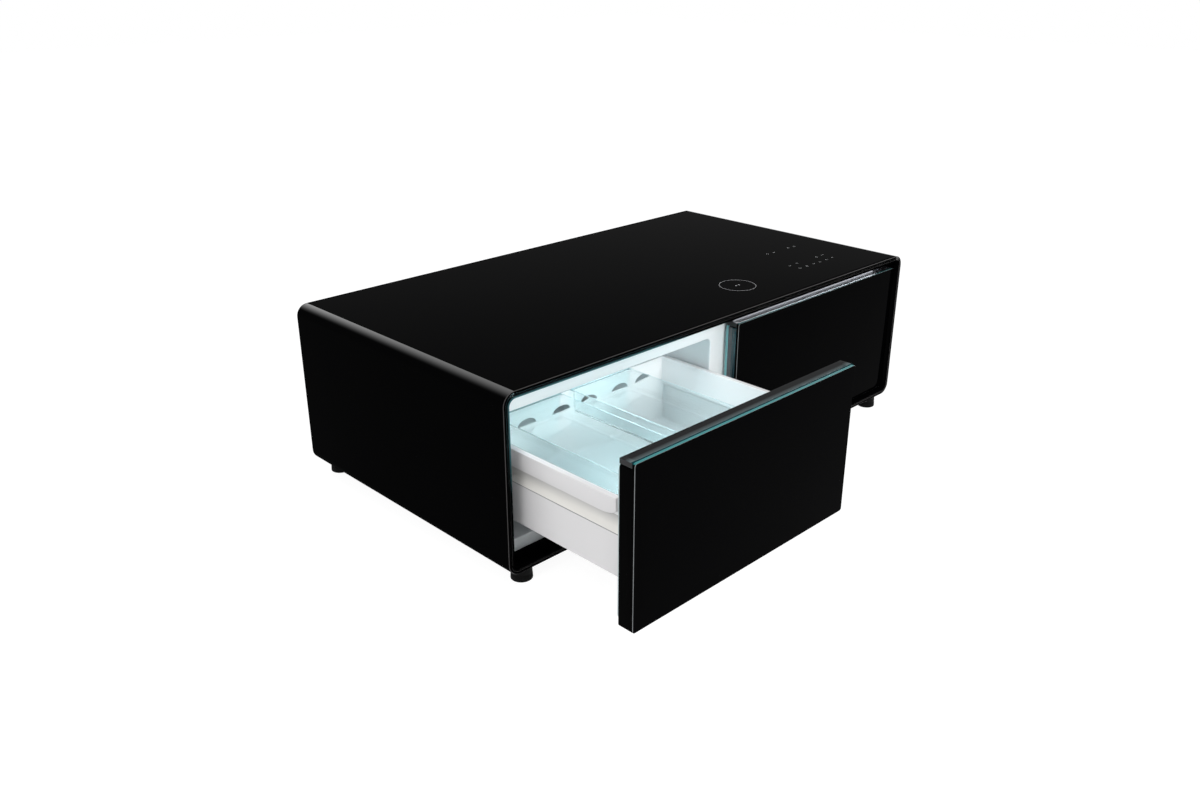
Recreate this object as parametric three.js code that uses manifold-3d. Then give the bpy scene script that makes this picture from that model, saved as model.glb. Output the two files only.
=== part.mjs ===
// Coffee table with two refrigerated drawers.
// Lengths are in millimetres. X runs along the table, Y from the drawer fronts to the back, Z up.

import * as THREE from 'three';
import { mergeVertices } from 'three/addons/utils/BufferGeometryUtils.js';
import Module from 'manifold-3d';

const wasm = await Module();
wasm.setup();

// Whole table
const tableLength = 1300;
const tableDepth = 700;
const tableHeight = 404;
const footHeight = 32;
const fit = 0.3; // gap kept between pieces that touch
const overrun = 2; // how far a cutter passes the face that it cuts

// Outer case
const caseWall = 6;
const caseRadius = 26;
const edgeBreak = 1; // small bevel on the case, frame and drawer fronts
const rearLipWidth = 12;
const rearLipThickness = 3;
const rearRecess = 4; // how far the rear cover sits inside the case

// Glass top
const topGlassThickness = 3.2;
const topGlassSideMargin = 28;
const topGlassFrontMargin = 6;
const topGlassRadius = 8;
const glassBreak = 0.6;

// Front frame, liner mouth and centre post
const frameBand = 15; // seen width of the black band round the front, case wall included
const frameRadius = 9;
const frameSlopeWidth = 7; // the slope round the mouth, across and inwards
const frameSlopeDepth = 6;
const flangeSetback = 49; // front edge of the case to the liner's flange
const sideLip = 18;
const bottomLip = 26;
const headerHeight = 49;
const postWidth = 64;
const mouthRadius = 12;
const linerWall = 2;

// Insulation
const rearInsulation = 30;
const bayDepth = 117.7; // room for the machinery behind the foam

// Drawer fronts
const frontSetback = 9;
const frontSideGap = 3;
const frontBottomGap = 3;
const fingerGap = 18;
const fingerHollow = 5; // depth of the slope on the back of the grip strip
const centreGap = 27;
const frontGlassThickness = 6;
const frontRadius = 6;
const gripHeight = 10;
const gripDrop = 3;
const gasketWidth = 10.5;
const gasketLipWidth = 6;
const gasketDepth = 5; // the core's back to the liner's flange when shut
const gasketLipShare = 0.55; // of the gasket's depth
const gasketSideInset = 3.5;
const gasketBottomInset = 10;
const gasketTopInset = 15;

// Drawer boxes
const boxSideClearance = 12.5;
const boxFloorClearance = 46;
const boxTopClearance = 67;
const boxWall = 3;
const rimBandShare = 0.234; // of the box's height
const rimDepth = 9;
const rimSkin = 2.5;
const rimFrontGap = 4;
const rimFrontRadius = 16;
const recessShare = 0.208; // of the box's height
const lowerInset = 2;
const boxCornerRadius = 8;
const ventWidth = 50;
const ventHeight = 14;
const ventBelowRim = 27;
const ventPlaceShares = [0.07, 0.2375, 0.368]; // of the box's length, from its middle

// Clear trays
const trayDepthShare = 0.318; // of the box's height
const trayWall = 2.5;
const trayLip = 2;
const trayRadius = 10;
const trayEndClearance = 2;
const trayGap = 27; // between the two trays
const trayStart = 52; // the box's left inner wall to the first tray
const trayFinish = 107; // the second tray to the box's right inner wall

// Drawer travel
const restPull = 310; // the left drawer stands open by this much

// Runners under the drawer boxes
const runnerInset = 78; // box side to a runner's centre
const runnerWidth = 36;
const runnerWall = 2;
const runnerSide = 0.5;
const runnerFixedHeight = 28;
const runnerMiddleHeight = 29;
const runnerFrontGap = 4;

// Air duct cover and circulation fan
const coverDepth = 50;
const coverClearance = 11;
const coverInset = 5;
const coverWall = 2;
const coverRadius = 8;
const louvreEnd = 50.5;
const louvreGap = 16;
const louvreHeight = 7;
const louvreRowPitch = 15;
const louvreRows = 2;
const louvreColumns = 7;
const louvreTopInset = 30;
const fanInset = 143; // near end of the cover to the fan
const fanRadius = 42;
const fanHubRadius = 14;
const fanThickness = 16;
const fanGap = 3;
const fanBlades = 5;
const bladeRootPitchShare = 0.3; // of a quarter turn from flat
const bladeTipPitchShare = 0.62;
const bladeChordShare = 0.55; // of the room round the wheel for one blade
const bladeRootShare = 0.85; // of the hub's radius, so that the blade starts inside it
const bladeRiseShare = 0.86; // of the wheel's thickness
const bladeEdgeShare = 0.07; // half of a blade's own thickness, of the wheel's
const bladeStations = 4;
const grilleBar = 4;
const shaftRadius = 2.5;

// Evaporator
const evaporatorFanGap = 88;
const evaporatorEndGap = 32;
const evaporatorTopGap = 42;
const evaporatorDepth = 34;
const evaporatorLift = 35;
const evaporatorFins = 5;
const evaporatorPasses = 3;
const finThickness = 1.2;
const pipeRadius = 4;

// Interior light
const lightHeight = 5;
const lightDepth = 10;
const lightEndInset = 14;

// Charging coil and touch board under the glass
const coilX = 149;
const coilFromFront = 124.5;
const coilWindowRadius = 45;
const coilOuterRadius = 25;
const coilInnerRadius = 10;
const coilThickness = 3;
const coilPlateThickness = 2.5;
const boardFromEnd = 208;
const boardFromFront = 174;
const boardLength = 186;
const boardWidth = 160;
const boardThickness = 1.6;
const boardKeyHeight = 0.6;
const boardKeyColumns = 4;
const boardKeyRows = 2;
const boardWindowRadius = 6;
const boardKeyRadiusShare = 0.25; // of the keys' spacing

// Machine bay
const compressorFromEnd = 220;
const compressorRadiusShare = 0.48; // of its plate's depth
const compressorHeight = 150;
const compressorDomeShare = 0.5; // of the radius
const compressorPlateLength = 150;
const bayClearance = 6.85; // in front of and behind the machinery
const compressorPlateThickness = 2.5;
const padHeight = 12;
const padRadius = 9;
const padWaist = 6;
const padInset = 12;
const terminalWidth = 40;
const terminalHeight = 34;
const terminalDepth = 30;
const condenserFromEnd = 490;
const condenserLength = 200;
const condenserHeight = 150;
const condenserFins = 5;
const condenserRows = 2;
const condenserColumns = 2;
const coolingClearance = 4.85;
const coolingThickness = 25;
const coolingSpokeThickness = 3;
const coolingFrom = 12; // gap between the cooling fan's frame and the condenser
const coolingRim = 8; // frame's edge to the wheel's tip
const coolingCorner = 6;
const coolingHubShare = 0.37; // of the wheel's radius
const coolingBlades = 7;
const dripLength = 180;
const dripHeight = 24;
const dripWall = 2;
const dripRadius = 10;
const controlFromEnd = 230;
const controlLength = 150;
const controlTopGap = 90;
const controlDepth = 42;
const controlLift = 160;
const controlRadius = 5;
const ductRise = 60; // how high the pipes climb above the compressor
const pipeReach = 120;
const dischargeSteps = 18;
const suctionSteps = 12;

// Rear cover
const rearCoverThickness = 3;
const ventSlotWidth = 6;
const ventSlotHeight = 90;
const ventSlotPitch = 16;
const ventSlotCount = 12;
const ventFieldLift = 70;
const screwRadius = 2;
const screwHeadRadius = 4.5;
const screwHeadHeight = 1.8;
const screwLength = 8;
const inletFromEnd = 110;
const inletLift = 60;
const inletWidth = 48;
const inletHeight = 28;
const inletLength = 24;
const inletFlange = 5;
const inletFlangeThickness = 2;
const inletMouthWidth = 25;
const inletMouthHeight = 17;
const inletMouthDepth = 16;
const inletRadius = 3;
const inletPinRadius = 1.8;
const inletPinSpread = 7;

// Feet
const footRadius = 22;
const footTopRadius = 20;
const footBreak = 2;
const footStudRadius = 4;
const footSideInset = 52;
const footFrontInset = 28;

// How finely round things are cut into flats
const coarseArcSteps = 1;
const coveSteps = 3;
const domeSteps = 3;
const arcSteps = 2;
const fineArcSteps = 3;
const rodSides = 16;
const thinRodSides = 8;
const coilPipeSides = 6;
const discSides = 24;

// Planes and levels that follow from the sizes above
const halfLength = tableLength / 2;
const caseFront = -tableDepth / 2;
const caseBack = tableDepth / 2;
const caseBottom = footHeight;
const caseInnerHalf = halfLength - caseWall;
const caseFloor = caseBottom + caseWall;
const caseCeiling = tableHeight - caseWall;
const innerRadius = caseRadius - caseWall;
const frameHalf = halfLength - frameBand;
const frameFloor = caseBottom + frameBand;
const frameTop = tableHeight - frameBand;
const flangeY = caseFront + flangeSetback;
const mouthNear = postWidth / 2;
const mouthFar = frameHalf - sideLip;
const mouthFloor = frameFloor + bottomLip;
const mouthTop = frameTop - headerHeight;
const rearCoverY = caseBack - rearRecess - rearCoverThickness;
const rearLipY = rearCoverY - fit - rearLipThickness;
const bayFront = rearLipY - bayDepth;
const linerBack = bayFront - rearInsulation - linerWall;
const bayMiddle = (bayFront + rearLipY) / 2;
const frontPlane = caseFront + frontSetback;
const frontNear = centreGap / 2;
const frontFar = frameHalf - frontSideGap;
const frontFloor = frameFloor + frontBottomGap;
const frontTop = frameTop - fingerGap;
const coreY = frontPlane + frontGlassThickness;
const coreBack = flangeY - gasketDepth;
const boxNear = mouthNear + boxSideClearance;
const boxFar = mouthFar - boxSideClearance;
const boxMiddle = (boxNear + boxFar) / 2;
const boxFloor = mouthFloor + boxFloorClearance;
const boxRim = mouthTop - boxTopClearance;
const boxHeight = boxRim - boxFloor;
const boxFront = coreBack + fit;
const coverY = linerBack - coverDepth;
const boxBack = coverY - coverClearance;
const rimBandHeight = boxHeight * rimBandShare;
const recessHeight = boxHeight * recessShare;
const pocketFloor = tableHeight - topGlassThickness - fit;
const boardX = halfLength - boardFromEnd;
const compressorX = compressorFromEnd - halfLength;
const compressorPlateDepth = bayDepth - 2 * bayClearance;
const compressorRadius = compressorPlateDepth * compressorRadiusShare;
const condenserX = halfLength - condenserFromEnd;
const condenserDepth = compressorPlateDepth;
const coolingFrame = bayDepth - 2 * coolingClearance;
const coolingRadius = coolingFrame / 2 - coolingRim;
const coolingHub = coolingRadius * coolingHubShare;
const controlX = halfLength - controlFromEnd;
const inletX = halfLength - inletFromEnd;

// The origin is under the middle of the whole table's footprint, with the left drawer open.
const originY = (frontPlane - restPull + caseBack) / 2;

// Finishes
const finish = (color, roughness, metalness = 0) => () =>
  new THREE.MeshStandardMaterial({ color, roughness, metalness });
const clearFinish = (color, opacity, roughness) => () =>
  new THREE.MeshStandardMaterial({ color, roughness, transparent: true, opacity });
const glossBlack = finish(0x060607, 0.12);
const blackGlass = finish(0x050506, 0.05);
const satinBlack = finish(0x141416, 0.45);
const gripGrey = finish(0x77787b, 0.35, 0.8);
const linerWhite = finish(0xf0f3f4, 0.35);
const boxWhite = finish(0xf4f4f3, 0.3);
const sealGrey = finish(0xc9cccf, 0.6);
const trayClear = clearFinish(0xc4eef0, 0.35, 0.08);
const lampGlow = finish(0xe2fbff, 0.4);
const zincSteel = finish(0xb8bbbe, 0.35, 0.9);
const aluminium = finish(0xc8cacc, 0.35, 0.9);
const copper = finish(0xb87345, 0.3, 0.9);
const foamCream = finish(0xe8dcae, 0.9);
const fanBlack = finish(0x1c1d1f, 0.5);
const rubberBlack = finish(0x101010, 0.85);
const boardGreen = finish(0x1d5a34, 0.5);
const controlGrey = finish(0x6d7074, 0.5);

// Solids: a geometry becomes a solid to be cut or joined, and a solid becomes a geometry again

const toSolid = (geometry) => {
  const bare = geometry.clone();
  bare.deleteAttribute('normal');
  bare.deleteAttribute('uv');
  const welded = mergeVertices(bare);
  return new wasm.Manifold(new wasm.Mesh({
    numProp: 3,
    vertProperties: welded.attributes.position.array,
    triVerts: new Uint32Array(welded.index.array),
  }));
};

const toGeometry = (solid) => {
  const data = solid.getMesh();
  const geometry = new THREE.BufferGeometry();
  geometry.setAttribute('position', new THREE.BufferAttribute(data.vertProperties, 3));
  geometry.setIndex(new THREE.BufferAttribute(data.triVerts, 1));
  const faceted = geometry.toNonIndexed();
  faceted.computeVertexNormals();
  return faceted;
};

const join = (solids) => solids.reduce((all, next) => all.add(next));
const cut = (solid, cutters) => (cutters.length ? solid.subtract(join(cutters)) : solid);

// Outlines

// A rectangle between two corners, given in any order, with round corners.
const panel = (a, b, c, d, radius = 0) => {
  const [left, right] = [Math.min(a, c), Math.max(a, c)];
  const [low, high] = [Math.min(b, d), Math.max(b, d)];
  const shape = new THREE.Shape();
  if (!radius) {
    shape.moveTo(left, low).lineTo(right, low).lineTo(right, high).lineTo(left, high);
    return shape.closePath();
  }
  const quarter = Math.PI / 2;
  shape.moveTo(left + radius, low);
  shape.lineTo(right - radius, low).absarc(right - radius, low + radius, radius, -quarter, 0);
  shape.lineTo(right, high - radius).absarc(right - radius, high - radius, radius, 0, quarter);
  shape.lineTo(left + radius, high).absarc(left + radius, high - radius, radius, quarter, 2 * quarter);
  shape.lineTo(left, low + radius).absarc(left + radius, low + radius, radius, 2 * quarter, 3 * quarter);
  return shape.closePath();
};

const ring = (outer, inner) => {
  outer.holes.push(inner);
  return outer;
};

const polygon = (points) => new THREE.Shape(points.map(([x, y]) => new THREE.Vector2(x, y)));

// A half ellipse that stands on its flat side.
const arch = (x, floor, width, height) => {
  const shape = new THREE.Shape();
  shape.moveTo(x - width / 2, floor).lineTo(x + width / 2, floor);
  shape.absellipse(x, floor, width / 2, height, 0, Math.PI);
  return shape.closePath();
};

// Extrusions: the outline lies square to the axis and runs from low to high along it

const extrude = (shape, low, high, bevel, steps) => {
  const geometry = new THREE.ExtrudeGeometry(shape, {
    depth: high - low - 2 * bevel,
    curveSegments: steps,
    bevelEnabled: bevel > 0,
    bevelThickness: bevel,
    bevelSize: bevel,
    bevelOffset: -bevel,
    bevelSegments: 1,
  });
  return geometry.translate(0, 0, bevel);
};

const alongZ = (shape, low, high, bevel = 0, steps = arcSteps) =>
  toSolid(extrude(shape, low, high, bevel, steps).translate(0, 0, low));

// The outline is drawn in X and Z.
const alongY = (shape, low, high, bevel = 0, steps = arcSteps) =>
  toSolid(extrude(shape, low, high, bevel, steps).rotateX(Math.PI / 2).translate(0, high, 0));

// The outline is drawn in Y and Z.
const turnToX = new THREE.Matrix4().makeBasis(
  new THREE.Vector3(0, 1, 0), new THREE.Vector3(0, 0, 1), new THREE.Vector3(1, 0, 0));
const alongX = (shape, low, high, bevel = 0, steps = arcSteps) =>
  toSolid(extrude(shape, low, high, bevel, steps).applyMatrix4(turnToX).translate(low, 0, 0));

const block = (a, b, c, d, e, f) => {
  const geometry = new THREE.BoxGeometry(Math.abs(b - a), Math.abs(d - c), Math.abs(f - e));
  return toSolid(geometry.translate((a + b) / 2, (c + d) / 2, (e + f) / 2));
};

const rodZ = (x, y, low, high, radius, sides = rodSides) =>
  toSolid(new THREE.CylinderGeometry(radius, radius, high - low, sides)
    .rotateX(Math.PI / 2).translate(x, y, (low + high) / 2));

const rodY = (x, z, low, high, radius, sides = rodSides) =>
  toSolid(new THREE.CylinderGeometry(radius, radius, high - low, sides).translate(x, (low + high) / 2, z));

const rodX = (y, z, low, high, radius, sides = rodSides) =>
  toSolid(new THREE.CylinderGeometry(radius, radius, high - low, sides)
    .rotateZ(Math.PI / 2).translate((low + high) / 2, y, z));

// A profile of [radius, height] pairs that starts and ends on the axis, turned about Z.
const turned = (profile, x, y, floor, sides = rodSides) =>
  toSolid(new THREE.LatheGeometry(profile.map(([r, h]) => new THREE.Vector2(r, h)), sides)
    .rotateX(Math.PI / 2).translate(x, y, floor));

// A pipe along a smooth curve through points.
const pipe = (points, radius, steps) => {
  const path = new THREE.CatmullRomCurve3(points.map((p) => new THREE.Vector3(...p)));
  const round = new THREE.Shape().absarc(0, 0, radius, 0, 2 * Math.PI);
  return toSolid(new THREE.ExtrudeGeometry(round, {
    steps, curveSegments: thinRodSides / 2, extrudePath: path, bevelEnabled: false,
  }));
};

// The scene graph

const table = new THREE.Group();
table.position.y = -originY;

const place = (name, solid, material) => {
  const mesh = new THREE.Mesh(toGeometry(solid), material());
  mesh.name = name;
  table.add(mesh);
  return mesh;
};

// Outer case: a wrap-round tube, pocketed for the glass, with a lip for the rear cover

const footPlaces = [];
for (const [side, x] of [['left', -halfLength + footSideInset], ['right', halfLength - footSideInset]]) {
  for (const [end, y] of [['front', caseFront + footFrontInset], ['back', caseBack - footFrontInset]]) {
    footPlaces.push({ name: `foot_${end}_${side}`, x, y });
  }
}

const screwPlaces = [];
const screwReach = caseInnerHalf - rearLipWidth / 2 - innerRadius;
for (const [level, z] of [['low', caseFloor + rearLipWidth / 2], ['high', caseCeiling - rearLipWidth / 2]]) {
  screwPlaces.push({ name: `rear_screw_${level}_left`, x: -screwReach, z });
  screwPlaces.push({ name: `rear_screw_${level}_right`, x: screwReach, z });
}

const caseInside = (gap = 0) =>
  panel(-caseInnerHalf + gap, caseFloor + gap, caseInnerHalf - gap, caseCeiling - gap, innerRadius - gap);

const coilY = caseFront + coilFromFront;
const boardY = caseFront + boardFromFront;
const boardOutline = (gap) => panel(
  boardX - boardLength / 2 - gap, boardY - boardWidth / 2 - gap,
  boardX + boardLength / 2 + gap, boardY + boardWidth / 2 + gap, boardWindowRadius);
const glassOutline = (gap) => panel(
  -halfLength + topGlassSideMargin + gap, caseFront + topGlassFrontMargin + gap,
  halfLength - topGlassSideMargin - gap, caseBack - topGlassFrontMargin - gap, topGlassRadius);

const outerCase = () => {
  const outline = panel(-halfLength, caseBottom, halfLength, tableHeight, caseRadius);
  const tube = alongY(ring(outline, caseInside()), caseFront, caseBack, edgeBreak, fineArcSteps);
  const lipHole = panel(
    -caseInnerHalf + rearLipWidth, caseFloor + rearLipWidth,
    caseInnerHalf - rearLipWidth, caseCeiling - rearLipWidth, innerRadius - rearLipWidth);
  const lipOutline = panel(
    -caseInnerHalf - overrun, caseFloor - overrun,
    caseInnerHalf + overrun, caseCeiling + overrun, innerRadius + overrun);
  const lip = alongY(ring(lipOutline, lipHole), rearLipY, rearLipY + rearLipThickness);
  const cutters = [
    alongZ(glassOutline(0), pocketFloor, tableHeight + overrun),
    rodZ(coilX, coilY, caseCeiling - overrun, tableHeight, coilWindowRadius, discSides),
    alongZ(boardOutline(fit), caseCeiling - overrun, tableHeight),
  ];
  for (const { x, y } of footPlaces) {
    const hole = footStudRadius + 2 * fit;
    cutters.push(rodZ(x, y, caseBottom - overrun, caseFloor + overrun, hole, thinRodSides));
  }
  for (const { x, z } of screwPlaces) {
    cutters.push(rodY(x, z, rearLipY - overrun, rearCoverY, screwRadius + fit, thinRodSides));
  }
  return cut(tube.add(lip), cutters);
};

place('outer_case', outerCase(), glossBlack);
place('top_glass',
  alongZ(glassOutline(fit), tableHeight - topGlassThickness, tableHeight, glassBreak), blackGlass);

// Front frame: the black band between the case and the liner's flange

const frameHole = (grow) => panel(
  -frameHalf - grow, frameFloor - grow, frameHalf + grow, frameTop + grow, frameRadius + grow);
const frontFrame = () => {
  const body = alongY(caseInside(fit), caseFront, flangeY - fit, edgeBreak, fineArcSteps);
  const hole = alongY(frameHole(0), caseFront, flangeY, 0, fineArcSteps);
  const slopeEnd = caseFront + frameSlopeDepth;
  const slope = wasm.Manifold.hull([
    alongY(frameHole(frameSlopeWidth), caseFront - overrun, caseFront, 0, fineArcSteps),
    alongY(frameHole(0), slopeEnd, slopeEnd + fit, 0, fineArcSteps),
  ]);
  return cut(body, [hole, slope]);
};
place('front_frame', frontFrame(), glossBlack);

// Charging coil and touch board, each in its window under the glass

const coilTop = tableHeight - topGlassThickness - fit;
const coilPlateLow = coilTop - coilThickness - coilPlateThickness;
const coil = () => {
  const winding = cut(rodZ(coilX, coilY, coilTop - coilThickness, coilTop, coilOuterRadius, discSides),
    [rodZ(coilX, coilY, coilTop - coilThickness, coilTop + overrun, coilInnerRadius, discSides)]);
  const plate = rodZ(coilX, coilY, coilPlateLow, coilTop - coilThickness, coilWindowRadius - fit, discSides);
  return plate.add(winding);
};
place('charging_coil', coil(), copper);

const boardKeys = () => {
  const keys = [];
  const pitch = boardLength / (boardKeyColumns + 1);
  const rowPitch = boardWidth / (boardKeyRows + 1);
  for (let row = 1; row <= boardKeyRows; row += 1) {
    for (let column = 1; column <= boardKeyColumns; column += 1) {
      const x = boardX - boardLength / 2 + pitch * column;
      const y = boardY - boardWidth / 2 + rowPitch * row;
      keys.push(rodZ(x, y, coilTop - 2 * boardKeyHeight, coilTop, pitch * boardKeyRadiusShare, thinRodSides));
    }
  }
  return keys;
};
const boardTop = coilTop - boardKeyHeight;
const board = alongZ(boardOutline(0), boardTop - boardThickness, boardTop);
place('touch_board', join([board, ...boardKeys()]), boardGreen);

// Feet

for (const { name, x, y } of footPlaces) {
  const top = footHeight - fit;
  const profile = [
    [0, 0], [footRadius - footBreak, 0], [footRadius, footBreak], [footTopRadius, top],
    [footStudRadius, top], [footStudRadius, footHeight + caseWall - fit], [0, footHeight + caseWall - fit],
  ];
  place(name, turned(profile, x, y, 0), rubberBlack);
}

// Insulation: one block foamed round both liners, with room for the coil and the board

const mouth = (s, grow, radius) => panel(
  s * (mouthNear - grow), mouthFloor - grow, s * (mouthFar + grow), mouthTop + grow, radius);

const insulation = () => {
  const body = alongY(caseInside(fit), flangeY + linerWall + fit, bayFront);
  const skin = linerWall + fit;
  const cutters = [-1, 1].map((s) =>
    alongY(mouth(s, skin, mouthRadius + skin), flangeY - overrun, linerBack + skin));
  const coilPocket = coilWindowRadius + fit;
  cutters.push(rodZ(coilX, coilY, coilPlateLow - fit, caseCeiling + overrun, coilPocket, discSides));
  return cut(body, cutters);
};
place('insulation', insulation(), foamCream);

// Liners: a flange that the gasket closes on, and a thin tub behind it

const liner = (s) => {
  const half = block(s * (fit / 2), s * halfLength, flangeY, flangeY + linerWall, caseBottom, tableHeight);
  const flange = alongY(caseInside(fit), flangeY, flangeY + linerWall).intersect(half);
  const tub = alongY(mouth(s, linerWall, mouthRadius + linerWall), flangeY, linerBack + linerWall);
  return cut(flange.add(tub), [alongY(mouth(s, 0, mouthRadius), flangeY - overrun, linerBack)]);
};

// Interior light, in the corner between the frame's top and the liner's flange

const light = (s) => {
  const top = frameTop - fit;
  const back = flangeY - fit;
  const outline = panel(back - lightDepth, top - lightHeight, back, top, lightHeight / 2 - fit);
  const ends = [s * (mouthNear + lightEndInset), s * (mouthFar - lightEndInset)];
  return alongX(outline, Math.min(...ends), Math.max(...ends));
};

// Air duct cover: a tray-shaped moulding with louvres and a fan grille

const coverLow = mouthFloor + coverInset;
const coverTop = mouthTop - coverInset;
const fanZ = (coverLow + coverTop) / 2;
const fanFromCentre = mouthNear + coverInset + fanInset;
const fanY = coverY + coverWall + fanGap + fanThickness / 2;

const ductCover = (s) => {
  const outline = (inset) => panel(
    s * (mouthNear + coverInset + inset), coverLow + inset,
    s * (mouthFar - coverInset - inset), coverTop - inset, coverRadius - inset);
  const shell = cut(alongY(outline(0), coverY, linerBack - fit),
    [alongY(outline(coverWall), coverY + coverWall, linerBack + overrun)]);
  const cutters = [rodY(s * fanFromCentre, fanZ, coverY - overrun, coverY + coverWall + overrun, fanRadius,
    discSides)];
  const [start, end] = [mouthNear + coverInset + louvreEnd, mouthFar - coverInset - louvreEnd];
  const louvrePitch = (end - start + louvreGap) / louvreColumns;
  const louvreWidth = louvrePitch - louvreGap;
  for (let row = 0; row < louvreRows; row += 1) {
    for (let column = 0; column < louvreColumns; column += 1) {
      const x = s * (start + louvreWidth / 2 + louvrePitch * column);
      const z = coverTop - louvreTopInset - louvreRowPitch * row;
      cutters.push(block(x - louvreWidth / 2, x + louvreWidth / 2, coverY - overrun,
        coverY + coverWall + overrun, z - louvreHeight / 2, z + louvreHeight / 2));
    }
  }
  const x = s * fanFromCentre;
  const bars = [
    block(x - fanRadius - grilleBar, x + fanRadius + grilleBar, coverY, coverY + coverWall,
      fanZ - grilleBar / 2, fanZ + grilleBar / 2),
    block(x - grilleBar / 2, x + grilleBar / 2, coverY, coverY + coverWall,
      fanZ - fanRadius - grilleBar, fanZ + fanRadius + grilleBar),
    rodY(x, fanZ, coverY, coverY + coverWall, fanHubRadius),
    rodY(x, fanZ, coverY + coverWall / 2, fanY + fanThickness / 2, shaftRadius, thinRodSides),
  ];
  return join([cut(shell, cutters), ...bars]);
};

// Fan wheel on the Z axis: each blade is lofted from root to tip, with the pitch easing outwards

const wheelSolid = (radius, hubRadius, thickness, blades, bore) => {
  const stations = bladeStations;
  const root = hubRadius * bladeRootShare;
  const chord = (r) => (2 * Math.PI * r * bladeChordShare) / blades;
  const blade = (turn) => {
    const points = [];
    for (let i = 0; i < stations; i += 1) {
      const share = i / (stations - 1);
      const r = root + (radius - root) * share;
      const pitchShare = bladeRootPitchShare + (bladeTipPitchShare - bladeRootPitchShare) * share;
      const pitch = (Math.PI / 2) * pitchShare;
      const rise = Math.min(chord(r) * Math.cos(pitch), thickness * bladeRiseShare) / 2;
      const along = rise * Math.tan(pitch);
      const half = thickness * bladeEdgeShare;
      for (const [a, z] of [[-along, -rise], [along, rise - half], [along, rise], [-along, half - rise]]) {
        const angle = turn + a / r;
        points.push(r * Math.cos(angle), r * Math.sin(angle), z);
      }
    }
    const index = [0, 2, 1, 0, 3, 2];
    for (let i = 0; i < stations - 1; i += 1) {
      for (let k = 0; k < 4; k += 1) {
        const [a, b] = [4 * i + k, 4 * i + ((k + 1) % 4)];
        index.push(a, b, b + 4, a, b + 4, a + 4);
      }
    }
    const end = 4 * (stations - 1);
    index.push(end, end + 1, end + 2, end, end + 2, end + 3);
    const solid = new wasm.Manifold(new wasm.Mesh({
      numProp: 3, vertProperties: new Float32Array(points), triVerts: new Uint32Array(index),
    }));
    return solid;
  };
  const hub = rodZ(0, 0, -thickness / 2, thickness / 2, hubRadius);
  const all = [hub];
  for (let i = 0; i < blades; i += 1) all.push(blade((2 * Math.PI * i) / blades));
  return cut(join(all), [rodZ(0, 0, -thickness, thickness, bore, thinRodSides)]);
};

const placeWheel = (name, solid, material, x, y, z, turnAxis) => {
  const mesh = place(name, solid, material);
  mesh.position.set(x, y, z);
  if (turnAxis === 'y') mesh.rotation.x = Math.PI / 2;
  else mesh.rotation.y = Math.PI / 2;
};

// Evaporator: plain fins threaded on a pipe that runs to and fro

const evaporator = (s) => {
  const back = linerBack - fit;
  const floor = coverLow + evaporatorLift;
  const evaporatorHeight = coverTop - evaporatorTopGap - floor;
  const ends = [fanFromCentre + fanRadius + evaporatorFanGap, mouthFar - coverInset - evaporatorEndGap];
  const evaporatorWidth = ends[1] - ends[0];
  const parts = [];
  for (let i = 0; i < evaporatorFins; i += 1) {
    const u = ends[0] + pipeRadius * 2 + ((evaporatorWidth - pipeRadius * 4) * i) / (evaporatorFins - 1);
    parts.push(block(s * (u - finThickness / 2), s * (u + finThickness / 2), back - evaporatorDepth, back,
      floor, floor + evaporatorHeight));
  }
  const pitch = evaporatorHeight / evaporatorPasses;
  const y = back - evaporatorDepth / 2;
  const [low, high] = s < 0 ? [-ends[1], -ends[0]] : ends;
  for (let i = 0; i < evaporatorPasses; i += 1) {
    const z = floor + pitch * (i + 1 / 2);
    parts.push(rodX(y, z, low, high, pipeRadius, coilPipeSides));
    if (i < evaporatorPasses - 1) {
      const x = i % 2 ? low + pipeRadius : high - pipeRadius;
      parts.push(rodZ(x, y, z, z + pitch, pipeRadius, coilPipeSides));
    }
  }
  return join(parts);
};

for (const [side, s] of [['left', -1], ['right', 1]]) {
  place(`liner_${side}`, liner(s), linerWhite);
  place(`interior_light_${side}`, light(s), lampGlow);
  place(`duct_cover_${side}`, ductCover(s), linerWhite);
  place(`evaporator_${side}`, evaporator(s), aluminium);
  placeWheel(`circulation_fan_${side}`,
    wheelSolid(fanRadius - fanGap, fanHubRadius, fanThickness, fanBlades, shaftRadius + fit),
    fanBlack, s * fanFromCentre, fanY, fanZ, 'y');
}

// Drawers

const frontOutline = (s, inset, top, radius) => panel(
  s * (frontNear + inset), frontFloor + inset, s * (frontFar - inset), top, radius);

const gasket = (s) => {
  const band = (inset, width) => ring(
    panel(s * (frontNear + gasketSideInset + inset), frontFloor + gasketBottomInset + inset,
      s * (frontFar - gasketSideInset - inset), frontTop - gasketTopInset - inset, gasketWidth),
    panel(s * (frontNear + gasketSideInset + inset + width), frontFloor + gasketBottomInset + inset + width,
      s * (frontFar - gasketSideInset - inset - width), frontTop - gasketTopInset - inset - width, fit * 2));
  const back = flangeY - fit;
  const lipInset = (gasketWidth - gasketLipWidth) / 2;
  const lipStart = back - gasketDepth * gasketLipShare;
  return alongY(band(0, gasketWidth), boxFront, lipStart, 0, coarseArcSteps)
    .add(alongY(band(lipInset, gasketLipWidth), boxFront, back, 0, coarseArcSteps));
};

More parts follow.
